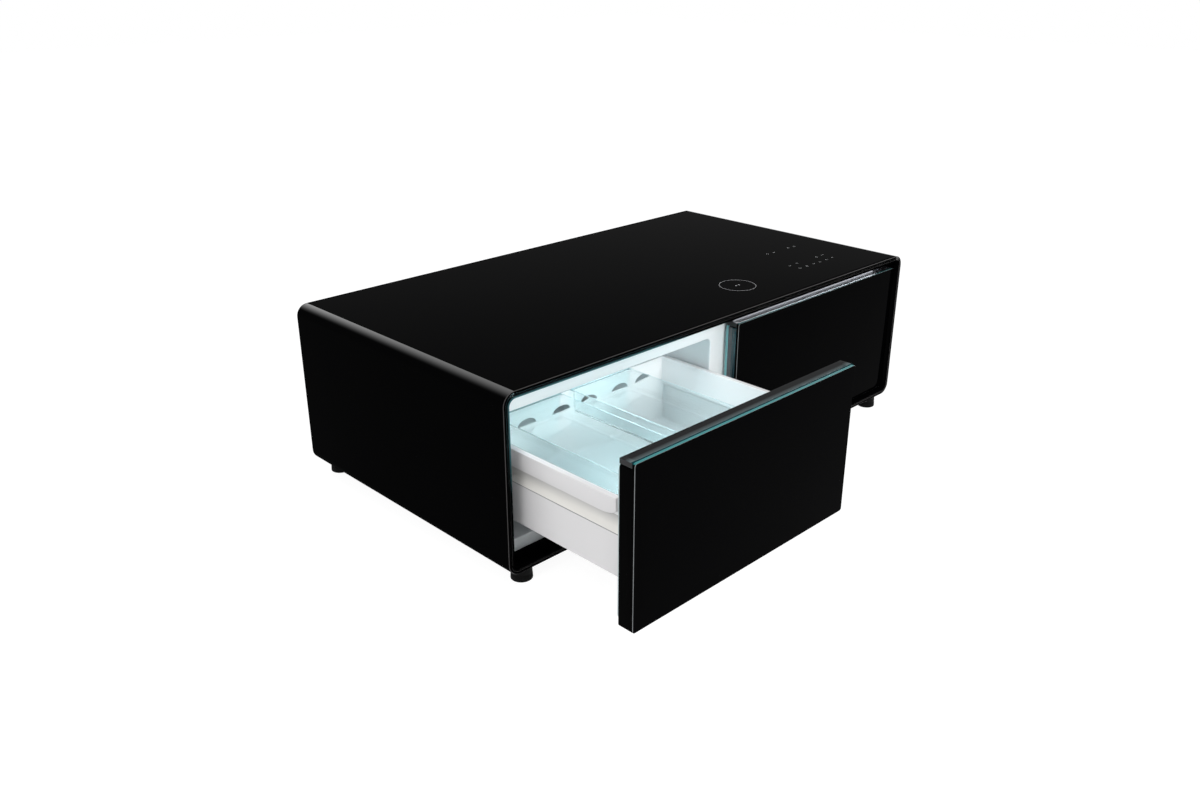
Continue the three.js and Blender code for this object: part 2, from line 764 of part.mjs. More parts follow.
// The grip strip slopes down from the glass to a finger hollow along its back edge.
const gripStrip = (s) => {
  const low = frontTop - gripHeight;
  const outline = polygon([
    [coreY + fit, low], [coreBack, low], [coreBack, frontTop - gripDrop - fingerHollow / 2],
    [coreBack - fingerHollow, frontTop - gripDrop], [coreY + fit, frontTop],
  ]);
  const ends = [s * frontNear, s * frontFar];
  return alongX(outline, Math.min(...ends), Math.max(...ends), edgeBreak / 2);
};

const drawerBox = (s) => {
  const stepZ = boxRim - rimBandHeight;
  const recessZ = stepZ - recessHeight;
  const [near, far] = [boxNear, boxFar];
  // From the lower wall, each side curves in like a quarter ellipse to the wall behind the rim band.
  const side = [[near + lowerInset, boxFloor]];
  for (let i = 0; i <= coveSteps; i += 1) {
    const angle = (Math.PI / 2) * (i / coveSteps);
    side.push([near + rimDepth - (rimDepth - lowerInset) * (1 - Math.sin(angle)),
      recessZ + recessHeight * (1 - Math.cos(angle))]);
  }
  side.push([near + rimDepth, boxRim]);
  const otherSide = side.map(([u, z]) => [near + far - u, z]).reverse();
  const parts = [alongY(polygon([...side, ...otherSide].map(([u, z]) => [s * u, z])), boxFront, boxBack)];
  const cutters = [];
  for (const [face, inward] of [[near, 1], [far, -1]]) {
    const front = boxFront + rimFrontGap;
    const band = new THREE.Shape();
    band.moveTo(front + rimFrontRadius, stepZ).lineTo(boxBack, stepZ).lineTo(boxBack, boxRim);
    band.lineTo(front, boxRim).lineTo(front, stepZ + rimFrontRadius);
    band.absarc(front + rimFrontRadius, stepZ + rimFrontRadius, rimFrontRadius, Math.PI, 1.5 * Math.PI);
    const faces = [s * face, s * (face + inward * (rimDepth + boxWall / 2))];
    parts.push(alongX(band, Math.min(...faces), Math.max(...faces)));
    cutters.push(block(s * (face + inward * rimSkin), s * (face + inward * (rimDepth - rimSkin / 2)),
      front + rimFrontRadius, boxBack - boxWall, stepZ - overrun, boxRim - rimSkin));
  }
  const back = boxBack - boxWall;
  cutters.push(
    alongY(panel(s * (near + rimDepth + boxWall), recessZ - boxWall, s * (far - rimDepth - boxWall),
      boxRim + overrun), boxFront + boxWall, back),
    alongY(panel(s * (near + lowerInset + boxWall), boxFloor + boxWall, s * (far - lowerInset - boxWall),
      recessZ - boxWall, boxCornerRadius), boxFront + boxWall, back),
    alongY(panel(s * (near + rimDepth + boxWall), boxFloor + boxWall + boxCornerRadius,
      s * (far - rimDepth - boxWall), recessZ), boxFront + boxWall, back));
  for (const offset of ventPlaceShares.map((share) => share * (far - near))) {
    for (const x of [s * (boxMiddle - offset), s * (boxMiddle + offset)]) {
      const floor = boxRim - ventBelowRim - ventHeight;
      cutters.push(alongY(arch(x, floor, ventWidth, ventHeight), back - overrun, boxBack + overrun));
    }
  }
  return cut(join(parts), cutters);
};

// A clear tray hangs by a lip at each end on the drawer box's front and back walls.
const trayWidth = (boxFar - boxNear - 2 * (rimDepth + boxWall) - trayStart - trayGap - trayFinish) / 2;
const trayDepth = boxHeight * trayDepthShare;
const tray = (low) => {
  const high = low + trayWidth;
  const front = boxFront + boxWall + trayEndClearance;
  const back = boxBack - boxWall - trayEndClearance;
  const top = boxRim + fit + trayLip;
  const floor = top - trayDepth;
  const body = alongZ(panel(low, front, high, back, trayRadius), floor, top);
  const lip = alongZ(panel(low, boxFront + fit, high, boxBack, trayRadius / 2), boxRim + fit, top);
  const inner = trayRadius - trayWall;
  const hollow = alongZ(panel(low + trayWall, front + trayWall, high - trayWall, back - trayWall, inner),
    floor + trayWall, top + overrun);
  return cut(body.add(lip), [hollow]);
};

// Runner members, nested channels: the fixed one on the liner's floor, the drawer's one under the box
const runnerCentres = (s) => [s * (boxNear + runnerInset), s * (boxFar - runnerInset)];
const runnerFloor = mouthFloor + fit;
const runnerY = flangeY + runnerFrontGap;
const runnerLength = boxBack - runnerY;

const channel = (x, width, low, high) => cut(
  block(x - width / 2, x + width / 2, runnerY, runnerY + runnerLength, low, high),
  [block(x - width / 2 + runnerWall, x + width / 2 - runnerWall, runnerY - overrun,
    runnerY + runnerLength + overrun, low + runnerWall, high + overrun)]);

const middleWidth = runnerWidth - 2 * (runnerWall + runnerSide);
const middleFloor = runnerFloor + runnerWall + fit;
const memberWidth = middleWidth - 2 * (runnerWall + runnerSide);
const memberFloor = middleFloor + runnerWall + fit;

const drawerMember = (x) => {
  const top = boxFloor - fit;
  const outer = block(x - memberWidth / 2, x + memberWidth / 2, runnerY, runnerY + runnerLength,
    memberFloor, top);
  const web = block(x - runnerWidth / 2, x + runnerWidth / 2, runnerY, runnerY + runnerLength,
    top - runnerWall, top);
  const hollow = block(x - memberWidth / 2 + runnerWall, x + memberWidth / 2 - runnerWall,
    runnerY - overrun, runnerY + runnerLength + overrun, memberFloor - overrun, top - runnerWall);
  return cut(outer, [hollow]).add(web);
};

for (const [side, s, pull] of [['left', -1, restPull], ['right', 1, 0]]) {
  const drawn = (name, solid, material, share = 1) => {
    place(`${side}_${name}`, solid, material).position.y = -pull * share;
  };
  drawn('front_glass',
    alongY(frontOutline(s, 0, frontTop, frontRadius), frontPlane, coreY, edgeBreak), blackGlass);
  drawn('front_core',
    alongY(frontOutline(s, 0, frontTop - gripHeight - fit, frontRadius), coreY + fit, coreBack,
      edgeBreak / 2), glossBlack);
  drawn('grip_strip', gripStrip(s), gripGrey);
  drawn('gasket', gasket(s), sealGrey);
  drawn('drawer_box', drawerBox(s), boxWhite);
  const first = (s < 0 ? -boxFar : boxNear) + rimDepth + boxWall + trayStart;
  drawn('tray_a', tray(first), trayClear);
  drawn('tray_b', tray(first + trayWidth + trayGap), trayClear);
  for (const [i, x] of runnerCentres(s).entries()) {
    const which = i ? 'outer' : 'inner';
    place(`${side}_runner_fixed_${which}`,
      channel(x, runnerWidth, runnerFloor, runnerFloor + runnerFixedHeight), zincSteel);
    drawn(`runner_middle_${which}`,
      channel(x, middleWidth, middleFloor, middleFloor + runnerMiddleHeight), zincSteel, 1 / 2);
    drawn(`runner_drawer_${which}`, drawerMember(x), zincSteel);
  }
}

// Machine bay: compressor on its pads, condenser with its fan, pipes, drip tray, controls

const plateFloor = caseFloor + padHeight;
const plateTop = plateFloor + compressorPlateThickness;
const padPlaces = [-1, 1].flatMap((a) => [-1, 1].map((b) => [
  compressorX + a * (compressorPlateLength / 2 - padInset),
  bayMiddle + b * (compressorPlateDepth / 2 - padInset)]));

const compressor = () => {
  const dome = compressorRadius * compressorDomeShare;
  const profile = [[0, 0], [compressorRadius - dome / 2, 0]];
  const steps = domeSteps;
  for (let i = 0; i <= steps; i += 1) {
    const angle = (Math.PI / 2) * (i / steps);
    profile.push([compressorRadius - dome / 2 * (1 - Math.sin(angle)), dome / 2 * (1 - Math.cos(angle))]);
  }
  for (let i = 0; i <= steps; i += 1) {
    const angle = (Math.PI / 2) * (i / steps);
    profile.push([compressorRadius - dome * (1 - Math.cos(angle)),
      compressorHeight - dome * (1 - Math.sin(angle))]);
  }
  profile.push([0, compressorHeight]);
  const clean = profile.filter(([r, h], i) => i === 0 || r !== profile[i - 1][0] || h !== profile[i - 1][1]);
  const body = turned(clean, compressorX, bayMiddle, plateTop - fit);
  const plate = alongZ(panel(compressorX - compressorPlateLength / 2, bayMiddle - compressorPlateDepth / 2,
    compressorX + compressorPlateLength / 2, bayMiddle + compressorPlateDepth / 2, padInset),
  plateFloor, plateTop);
  const boxSide = compressorX - compressorRadius - terminalDepth / 2;
  const terminal = block(boxSide, compressorX, bayMiddle - terminalWidth / 2, bayMiddle + terminalWidth / 2,
    plateTop + terminalHeight, plateTop + 2 * terminalHeight);
  const pad = ([x, y]) => turned([
    [0, 0], [padRadius, 0], [padWaist, padHeight / 2], [padRadius, padHeight], [0, padHeight],
  ], x, y, caseFloor + fit, thinRodSides);
  return join([plate, body, terminal, ...padPlaces.map(pad)]);
};
place('compressor', compressor(), satinBlack);

const condenser = () => {
  const [low, high] = [condenserX, condenserX + condenserLength];
  const front = bayMiddle - condenserDepth / 2;
  const floor = caseFloor + fit;
  const parts = [];
  for (let i = 0; i < condenserFins; i += 1) {
    const y = front + pipeRadius * 2 + ((condenserDepth - pipeRadius * 4) * i) / (condenserFins - 1);
    parts.push(block(low, high, y - finThickness / 2, y + finThickness / 2, floor, floor + condenserHeight));
  }
  for (let row = 0; row < condenserRows; row += 1) {
    for (let column = 0; column < condenserColumns; column += 1) {
      const x = low + (condenserLength * (column + 1 / 2)) / condenserColumns;
      const z = floor + (condenserHeight * (row + 1 / 2)) / condenserRows;
      parts.push(rodY(x, z, front, front + condenserDepth, pipeRadius, coilPipeSides));
    }
  }
  return join(parts);
};
place('condenser', condenser(), satinBlack);

const coolingX = condenserX - coolingFrom - coolingThickness / 2;
const coolingZ = caseFloor + fit + coolingFrame / 2;
const coolingFrameSolid = () => {
  const [low, high] = [coolingX - coolingThickness / 2, coolingX + coolingThickness / 2];
  const outline = panel(bayMiddle - coolingFrame / 2, coolingZ - coolingFrame / 2,
    bayMiddle + coolingFrame / 2, coolingZ + coolingFrame / 2, coolingCorner);
  const bore = coolingRadius + fanGap;
  const body = cut(alongX(outline, low, high),
    [rodX(bayMiddle, coolingZ, low - overrun, high + overrun, bore, discSides)]);
  const bar = coolingSpokeThickness;
  return join([
    body,
    block(low, low + bar, bayMiddle - bore - bar / 2, bayMiddle + bore + bar / 2,
      coolingZ - grilleBar, coolingZ + grilleBar),
    block(low, low + bar, bayMiddle - grilleBar, bayMiddle + grilleBar,
      coolingZ - bore - bar / 2, coolingZ + bore + bar / 2),
    rodX(bayMiddle, coolingZ, low, low + bar, coolingHub),
    rodX(bayMiddle, coolingZ, low, high - fanGap, shaftRadius, thinRodSides),
  ]);
};
place('cooling_fan_frame', coolingFrameSolid(), fanBlack);
const coolingWheel = coolingThickness - coolingSpokeThickness - 2 * fanGap;
placeWheel('cooling_fan',
  wheelSolid(coolingRadius, coolingHub, coolingWheel, coolingBlades, shaftRadius + fit),
  fanBlack, coolingX + coolingSpokeThickness / 2, bayMiddle, coolingZ, 'x');

const dripX = (compressorX + compressorPlateLength / 2 + coolingX - coolingThickness / 2) / 2;
const dripDepth = bayDepth - 2 * (bayClearance + dripWall);
const dripTray = () => {
  const outline = (inset) => panel(dripX - dripLength / 2 + inset, bayMiddle - dripDepth / 2 + inset,
    dripX + dripLength / 2 - inset, bayMiddle + dripDepth / 2 - inset, dripRadius - inset);
  return cut(alongZ(outline(0), caseFloor + fit, caseFloor + fit + dripHeight),
    [alongZ(outline(dripWall), caseFloor + fit + dripWall, caseFloor + dripHeight + overrun)]);
};
place('drip_tray', dripTray(), satinBlack);

const controlBox = () => {
  const outline = panel(controlX - controlLength / 2, caseFloor + controlLift, controlX + controlLength / 2,
    caseCeiling - controlTopGap, controlRadius);
  return alongY(outline, bayFront + fit, bayFront + fit + controlDepth, edgeBreak);
};
place('control_box', controlBox(), controlGrey);

// Two pipes rise from the compressor: one to the condenser, one forward to the evaporators.
const pipeStart = plateTop + compressorHeight + fit;
const pipeCrest = pipeStart + ductRise;
const pipeOffset = compressorRadius / 2;
const pipeEnd = condenserX + condenserLength / 4;
place('discharge_pipe', pipe([
  [compressorX + pipeOffset, bayMiddle, pipeStart],
  [compressorX + pipeOffset, bayMiddle, pipeCrest - pipeOffset],
  [compressorX + pipeOffset + pipeReach / 3, bayMiddle, pipeCrest],
  [pipeEnd - pipeReach / 3, bayMiddle, pipeCrest],
  [pipeEnd, bayMiddle, pipeCrest - pipeOffset],
  [pipeEnd, bayMiddle, caseFloor + condenserHeight + 2 * fit],
], pipeRadius, dischargeSteps), copper);
place('suction_pipe', pipe([
  [compressorX - pipeOffset, bayMiddle, pipeStart],
  [compressorX - pipeOffset, bayMiddle, pipeCrest - pipeOffset],
  [compressorX - pipeOffset, bayMiddle - pipeOffset / 2, pipeCrest - pipeOffset / 4],
  [compressorX - pipeOffset, bayFront + fit, pipeCrest - pipeOffset / 4],
], pipeRadius, suctionSteps), copper);

// Rear cover, its screws and the power inlet

const inletZ = caseFloor + inletLift;
const rearCover = () => {
  const cutters = [];
  for (const centre of [condenserX + condenserLength / 2, compressorX]) {
    const first = centre - (ventSlotPitch * (ventSlotCount - 1)) / 2;
    for (let i = 0; i < ventSlotCount; i += 1) {
      const x = first + ventSlotPitch * i;
      cutters.push(block(x - ventSlotWidth / 2, x + ventSlotWidth / 2, rearCoverY - overrun, caseBack,
        caseFloor + ventFieldLift, caseFloor + ventFieldLift + ventSlotHeight));
    }
  }
  for (const { x, z } of screwPlaces) {
    cutters.push(rodY(x, z, rearCoverY - overrun, caseBack, screwRadius + fit, thinRodSides));
  }
  cutters.push(block(inletX - inletWidth / 2 - fit, inletX + inletWidth / 2 + fit, rearCoverY - overrun,
    caseBack, inletZ - inletHeight / 2 - fit, inletZ + inletHeight / 2 + fit));
  return cut(alongY(caseInside(fit), rearCoverY, rearCoverY + rearCoverThickness), cutters);
};
place('rear_cover', rearCover(), satinBlack);

const screwSeat = rearCoverY + rearCoverThickness + fit;
for (const { name, x, z } of screwPlaces) {
  const head = rodY(x, z, screwSeat, screwSeat + screwHeadHeight, screwHeadRadius, thinRodSides);
  const shank = rodY(x, z, screwSeat - screwLength, screwSeat + screwHeadHeight / 2, screwRadius,
    thinRodSides);
  place(name, head.add(shank), zincSteel);
}

const powerInlet = () => {
  const grow = inletFlange;
  const face = screwSeat + inletFlangeThickness;
  const flange = alongY(panel(inletX - inletWidth / 2 - grow, inletZ - inletHeight / 2 - grow,
    inletX + inletWidth / 2 + grow, inletZ + inletHeight / 2 + grow, inletRadius), screwSeat, face);
  const body = block(inletX - inletWidth / 2, inletX + inletWidth / 2, screwSeat - inletLength,
    screwSeat + inletFlangeThickness / 2, inletZ - inletHeight / 2, inletZ + inletHeight / 2);
  const mouthCut = alongY(panel(inletX - inletMouthWidth / 2, inletZ - inletMouthHeight / 2,
    inletX + inletMouthWidth / 2, inletZ + inletMouthHeight / 2, inletRadius),
  face - inletMouthDepth, face + overrun);
  const pins = [-1, 0, 1].map((i) => rodY(inletX + i * inletPinSpread, inletZ + (i ? -1 : 1) * inletPinRadius,
    face - inletMouthDepth - overrun, face - overrun, inletPinRadius, thinRodSides));
  return join([cut(flange.add(body), [mouthCut]), ...pins]);
};
place('power_inlet', powerInlet(), satinBlack);

export default table;
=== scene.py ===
# %% [markdown]
# # A coffee table with two refrigerated drawers
#
# The table is a wide, low, gloss black case with a black glass top. Two cooled drawers slide out of its
# front, and the left one stands open, so its white box and clear trays show under a cool light. The exact
# solids come from the CAD model. This lesson gives each of them its look: soft edges, printed marks, gloss,
# frost and grain.

# %% The frame that every piece follows
import math

import bmesh
import bpy
import numpy as np
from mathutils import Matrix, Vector


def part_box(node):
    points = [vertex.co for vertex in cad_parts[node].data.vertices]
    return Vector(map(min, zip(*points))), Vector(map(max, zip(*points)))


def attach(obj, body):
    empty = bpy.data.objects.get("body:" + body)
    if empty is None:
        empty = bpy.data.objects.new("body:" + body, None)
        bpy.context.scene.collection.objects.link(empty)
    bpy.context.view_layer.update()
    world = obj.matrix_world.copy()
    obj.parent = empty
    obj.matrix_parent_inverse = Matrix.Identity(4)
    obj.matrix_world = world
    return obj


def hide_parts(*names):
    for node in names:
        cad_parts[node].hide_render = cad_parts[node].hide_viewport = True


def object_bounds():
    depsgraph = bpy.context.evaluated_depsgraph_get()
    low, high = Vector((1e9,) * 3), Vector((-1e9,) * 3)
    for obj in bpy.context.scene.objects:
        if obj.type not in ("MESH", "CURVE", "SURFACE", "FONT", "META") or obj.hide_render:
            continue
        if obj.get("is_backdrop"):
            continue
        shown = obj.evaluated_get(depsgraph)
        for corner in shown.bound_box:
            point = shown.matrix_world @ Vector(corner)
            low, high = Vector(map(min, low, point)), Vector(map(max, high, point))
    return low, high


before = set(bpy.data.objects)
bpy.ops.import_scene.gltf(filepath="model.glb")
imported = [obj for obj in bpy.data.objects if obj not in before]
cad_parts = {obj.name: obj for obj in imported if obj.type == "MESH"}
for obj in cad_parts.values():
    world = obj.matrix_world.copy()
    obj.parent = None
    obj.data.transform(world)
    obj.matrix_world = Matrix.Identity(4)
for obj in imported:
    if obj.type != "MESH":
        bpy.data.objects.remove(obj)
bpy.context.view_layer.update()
mm = 0.001
SIDES = {"left": -1, "right": 1}

# %% [markdown]
# ## The camera
#
# The photograph's straight edges meet at vanishing points, and those fix the camera: where it stands, where
# it looks and how wide its lens is. It could be placed by eye, but a camera solved from the edges makes every
# later comparison honest. The frame is taken to be 1200 by 800, so the sensor's width lies along the 1200.

# %% Place the camera
SENSOR_WIDTH, FRAME_PIXELS, FOCAL_PIXELS = 36.0, 1200, 1068.811
# The place is in metres, and the turn and rise are in radians.
CAMERA_PLACE = (-1.724186, -1.536112, 1.124570)
CAMERA_TURN, CAMERA_RISE = -0.775369, 0.403965


def placed(name, data):
    """A new object that holds data, linked into the scene."""
    item = bpy.data.objects.new(name, data)
    bpy.context.collection.objects.link(item)
    return item


camera_data = bpy.data.cameras.new("camera")
camera_data.sensor_width = SENSOR_WIDTH
camera_data.lens = SENSOR_WIDTH * FOCAL_PIXELS / FRAME_PIXELS
camera = placed("camera", camera_data)
camera.location = CAMERA_PLACE
level = math.cos(CAMERA_RISE)
away = Vector((math.sin(CAMERA_TURN) * level, -math.cos(CAMERA_TURN) * level, math.sin(CAMERA_RISE)))
camera.rotation_mode = "QUATERNION"
camera.rotation_quaternion = (-away).to_track_quat("-Z", "Y")
bpy.context.scene.camera = camera
print("lens in mm:", round(camera_data.lens, 2))

# %% [markdown]
# ## The studio
#
# The table is photographed on white. What the camera sees is plain white, while the light that falls on the
# table is kept at a level where a colour renders about as it is written. Light Path tells the two apart. What
# makes gloss black readable is the white studio that it mirrors, so the lamps themselves stay out of its
# mirror image: a bright rectangle on the top would look like a stain.

# %% World: white where it is seen or mirrored, softer where it lights
WHITE = (1, 1, 1)
FILL_COLOUR, FILL_STRENGTH = (0.96, 0.98, 1.0), 0.36


def math_node(tree, operation, a, b=None):
    """A math node fed by sockets or plain numbers. Gives its output."""
    node = tree.nodes.new("ShaderNodeMath")
    node.operation = operation
    for socket, value in zip(node.inputs, (a, b)):
        if isinstance(value, bpy.types.NodeSocket):
            tree.links.new(value, socket)
        elif value is not None:
            socket.default_value = value
    return node.outputs[0]


def shown_rays(tree):
    """A mask: 1 for the rays that show the studio, from the camera, off gloss or through clear plastic, and 0
    for those that carry its light."""
    path = tree.nodes.new("ShaderNodeLightPath")
    seen = math_node(tree, "MAXIMUM", path.outputs["Is Camera Ray"], path.outputs["Is Glossy Ray"])
    return math_node(tree, "MAXIMUM", seen, path.outputs["Is Transmission Ray"])


def plain_shader(tree, kind, colour, strength=None):
    """A shader of one colour, and of one strength where it glows. Gives its output."""
    node = tree.nodes.new(kind)
    node.inputs["Color"].default_value = (*colour, 1)
    if strength is not None:
        node.inputs["Strength"].default_value = strength
    return node.outputs[0]


def choose_shader(tree, share, first, second):
    """The first shader where share is 0, the second where it is 1, and a mix between."""
    mixed = tree.nodes.new("ShaderNodeMixShader")
    for socket, source in zip(mixed.inputs, (share, first, second)):
        tree.links.new(source, socket)
    return mixed.outputs[0]


scene = bpy.context.scene
scene.view_settings.view_transform = "Standard"
world = bpy.data.worlds.new("studio")
scene.world = world
world.use_nodes = True
tree = world.node_tree
tree.nodes.clear()
fill = plain_shader(tree, "ShaderNodeBackground", FILL_COLOUR, FILL_STRENGTH)
backdrop = plain_shader(tree, "ShaderNodeBackground", WHITE, 1.0)
surround = choose_shader(tree, shown_rays(tree), fill, backdrop)
tree.links.new(surround, tree.nodes.new("ShaderNodeOutputWorld").inputs["Surface"])
print("world nodes:", len(tree.nodes))

# %% [markdown]
# Four large lamps make soft daylight from behind, above, the left and the front. Two small ones lie under the
# ceiling of the open compartment and stand for the cool light that its lens spreads. A glowing lens alone
# could light the box, but it would take many more samples to look smooth.

# %% Lamps
# Each row: place, what it faces, width and length in metres, power in watts, colour.
LAMPS = {
    "rear_soft": ((-0.1, 2.3, 2.3), (-0.4, 0.1, 0.4), (1.6, 1.3), 14, WHITE),
    "overhead": ((-0.9, -0.5, 2.6), (-0.4, -0.3, 0.2), (1.2, 1.2), 28, WHITE),
    "left_soft": ((-2.5, -0.9, 2.1), (-0.5, -0.3, 0.2), (1.1, 1.1), 19, WHITE),
    "front_soft": ((-0.05, -2.4, 1.4), (-0.2, -0.15, 0.25), (0.9, 0.9), 42, WHITE),
    "header_glow": ((-0.305, -0.11, 0.336), (-0.22, -0.16, 0.1), (0.49, 0.03), 0.32, (0.88, 0.94, 0.98)),
    "rear_glow": ((-0.305, 0.05, 0.336), (-0.22, 0.0, 0.1), (0.49, 0.03), 0.105, (0.74, 0.92, 0.98)),
}


def lamp(name, place, target, size, power, colour):
    """A rectangular lamp at place that faces target. It lights surfaces, but gloss and clear plastic don't
    show it, so no lamp's outline lies on the black top."""
    data = bpy.data.lights.new(name, "AREA")
    data.shape = "RECTANGLE"
    data.size, data.size_y = size
    data.energy = power
    data.color = colour
    item = placed(name, data)
    item.location = place
    item.rotation_mode = "QUATERNION"
    item.rotation_quaternion = (Vector(target) - Vector(place)).to_track_quat("-Z", "Y")
    item.visible_glossy = False
    item.visible_transmission = False


for name, row in LAMPS.items():
    lamp(name, *row)
print("lamps:", len(LAMPS))

# %% [markdown]
# ## Floor
#
# A plain pale floor keeps the table's soft shadow. Part of its colour is light of its own for the camera, so
# that it runs into the white backdrop with no horizon, and the rest is ordinary diffuse white, which the
# shadow darkens.

# %% Floor
FLOOR_HALF = 12.0
PAPER_COLOUR = (0.9, 0.9, 0.9)
GLOW_STRENGTH, GLOW_SHARE = 1.18, 0.8
corners = [(-1, -1), (1, -1), (1, 1), (-1, 1)]
sheet = bpy.data.meshes.new("floor")
sheet.from_pydata([(x * FLOOR_HALF, y * FLOOR_HALF, 0.0) for x, y in corners], [], [(0, 1, 2, 3)])
floor = placed("floor", sheet)
floor_look = bpy.data.materials.new("pale_floor")
floor_look.use_nodes = True
tree = floor_look.node_tree
tree.nodes.clear()
paper = plain_shader(tree, "ShaderNodeBsdfDiffuse", PAPER_COLOUR)
glow = plain_shader(tree, "ShaderNodeEmission", WHITE, GLOW_STRENGTH)
surface = choose_shader(tree, math_node(tree, "MULTIPLY", shown_rays(tree), GLOW_SHARE), paper, glow)
tree.links.new(surface, tree.nodes.new("ShaderNodeOutputMaterial").inputs["Surface"])
floor.data.materials.append(floor_look)
floor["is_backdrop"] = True
print("floor width in metres:", 2 * FLOOR_HALF)

# %% [markdown]
# ## A shared surface effect
#
# Moulded plastic, lacquer and glass are never perfectly even: a fine grain breaks up the highlight, and slow
# patches of handling change the gloss a little. Painting that by hand would need pictures, so a small node
# group makes it from noise, and each finish uses it with its own scale and shades.

# %% Node group: a fine grain with slow patches
GRAIN_SOCKETS = {
    "INPUT": {"Vector": "NodeSocketVector", "Grain Scale": "NodeSocketFloat",
              "Patch Scale": "NodeSocketFloat", "Shade A": "NodeSocketColor", "Shade B": "NodeSocketColor",
              "Rough Low": "NodeSocketFloat", "Rough High": "NodeSocketFloat"},
    "OUTPUT": {"Colour": "NodeSocketColor", "Roughness": "NodeSocketFloat", "Height": "NodeSocketFloat"},
}
# The places of a Mix node's colour sockets: its two inputs and its output.
MIX_FIRST, MIX_SECOND, MIX_RESULT = 6, 7, 2
# Most of the noise lies between these values, so the roughness reaches both its ends.
NOISE_LOW, NOISE_HIGH = 0.35, 0.65

grain_group = bpy.data.node_groups.new("surface_grain", "ShaderNodeTree")
for direction, sockets in GRAIN_SOCKETS.items():
    for name, kind in sockets.items():
        grain_group.interface.new_socket(name=name, in_out=direction, socket_type=kind)
nodes, links = grain_group.nodes, grain_group.links
given, out = nodes.new("NodeGroupInput"), nodes.new("NodeGroupOutput")
fine, slow = nodes.new("ShaderNodeTexNoise"), nodes.new("ShaderNodeTexNoise")
fine.inputs["Detail"].default_value = 3
slow.inputs["Detail"].default_value = 2
mix = nodes.new("ShaderNodeMix")
mix.data_type = "RGBA"
spread = nodes.new("ShaderNodeMapRange")
spread.inputs["From Min"].default_value = NOISE_LOW
spread.inputs["From Max"].default_value = NOISE_HIGH
for source, socket in ((given.outputs["Vector"], fine.inputs["Vector"]),
                       (given.outputs["Vector"], slow.inputs["Vector"]),
                       (given.outputs["Grain Scale"], fine.inputs["Scale"]),
                       (given.outputs["Patch Scale"], slow.inputs["Scale"]),
                       (slow.outputs["Fac"], mix.inputs["Factor"]),
                       (given.outputs["Shade A"], mix.inputs[MIX_FIRST]),
                       (given.outputs["Shade B"], mix.inputs[MIX_SECOND]),
                       (slow.outputs["Fac"], spread.inputs["Value"]),
                       (given.outputs["Rough Low"], spread.inputs["To Min"]),
                       (given.outputs["Rough High"], spread.inputs["To Max"]),
                       (mix.outputs[MIX_RESULT], out.inputs["Colour"]),
                       (spread.outputs["Result"], out.inputs["Roughness"]),
                       (fine.outputs["Fac"], out.inputs["Height"])):
    links.new(source, socket)
print("group sockets:", len(grain_group.interface.items_tree))

# %% [markdown]
# Every finish is one Principled shader fed by that group. The colour, roughness and relief change over the
# surface, and whatever is even, such as the coat, is set on the shader itself.

# %% A finish: one Principled shader fed by the grain group
def finish(name, shade_a, shade_b, rough, grain=900.0, patch=4.0, bump=0.00002, stretch=(1, 1, 1), **sockets):
    """A material of two close shades. Roughness runs from rough[0] to rough[1] over slow patches, and the
    bump's height is grain noise times bump, in metres. Any other socket is set by its own name."""
    look = bpy.data.materials.new(name)
    look.use_nodes = True
    tree = look.node_tree
    shader = tree.nodes["Principled BSDF"]
    where = tree.nodes.new("ShaderNodeTexCoord")
    aim = tree.nodes.new("ShaderNodeMapping")
    aim.inputs["Scale"].default_value = stretch
    group = tree.nodes.new("ShaderNodeGroup")
    group.node_tree = grain_group
    group.inputs["Grain Scale"].default_value = grain
    group.inputs["Patch Scale"].default_value = patch
    group.inputs["Shade A"].default_value = (*shade_a, 1)
    group.inputs["Shade B"].default_value = (*shade_b, 1)
    group.inputs["Rough Low"].default_value = rough[0]
    group.inputs["Rough High"].default_value = rough[1]
    relief = tree.nodes.new("ShaderNodeBump")
    relief.inputs["Distance"].default_value = bump
    tree.links.new(where.outputs["Object"], aim.inputs["Vector"])
    tree.links.new(aim.outputs["Vector"], group.inputs["Vector"])
    tree.links.new(group.outputs["Colour"], shader.inputs["Base Color"])
    tree.links.new(group.outputs["Roughness"], shader.inputs["Roughness"])
    tree.links.new(group.outputs["Height"], relief.inputs["Height"])
    tree.links.new(relief.outputs["Normal"], shader.inputs["Normal"])
    for socket, value in sockets.items():
        shader.inputs[socket.replace("_", " ")].default_value = value
    return look


def tell_finishes():
    """Prints how many finishes there are so far."""
    print("finishes so far:", len([look for look in bpy.data.materials if look.use_nodes]))


zinc = finish("zinc", (0.42, 0.43, 0.44), (0.56, 0.57, 0.58), (0.25, 0.42), grain=400, patch=60,
              bump=0.00002, Metallic=0.95)
print("nodes in a finish:", len(zinc.node_tree.nodes))
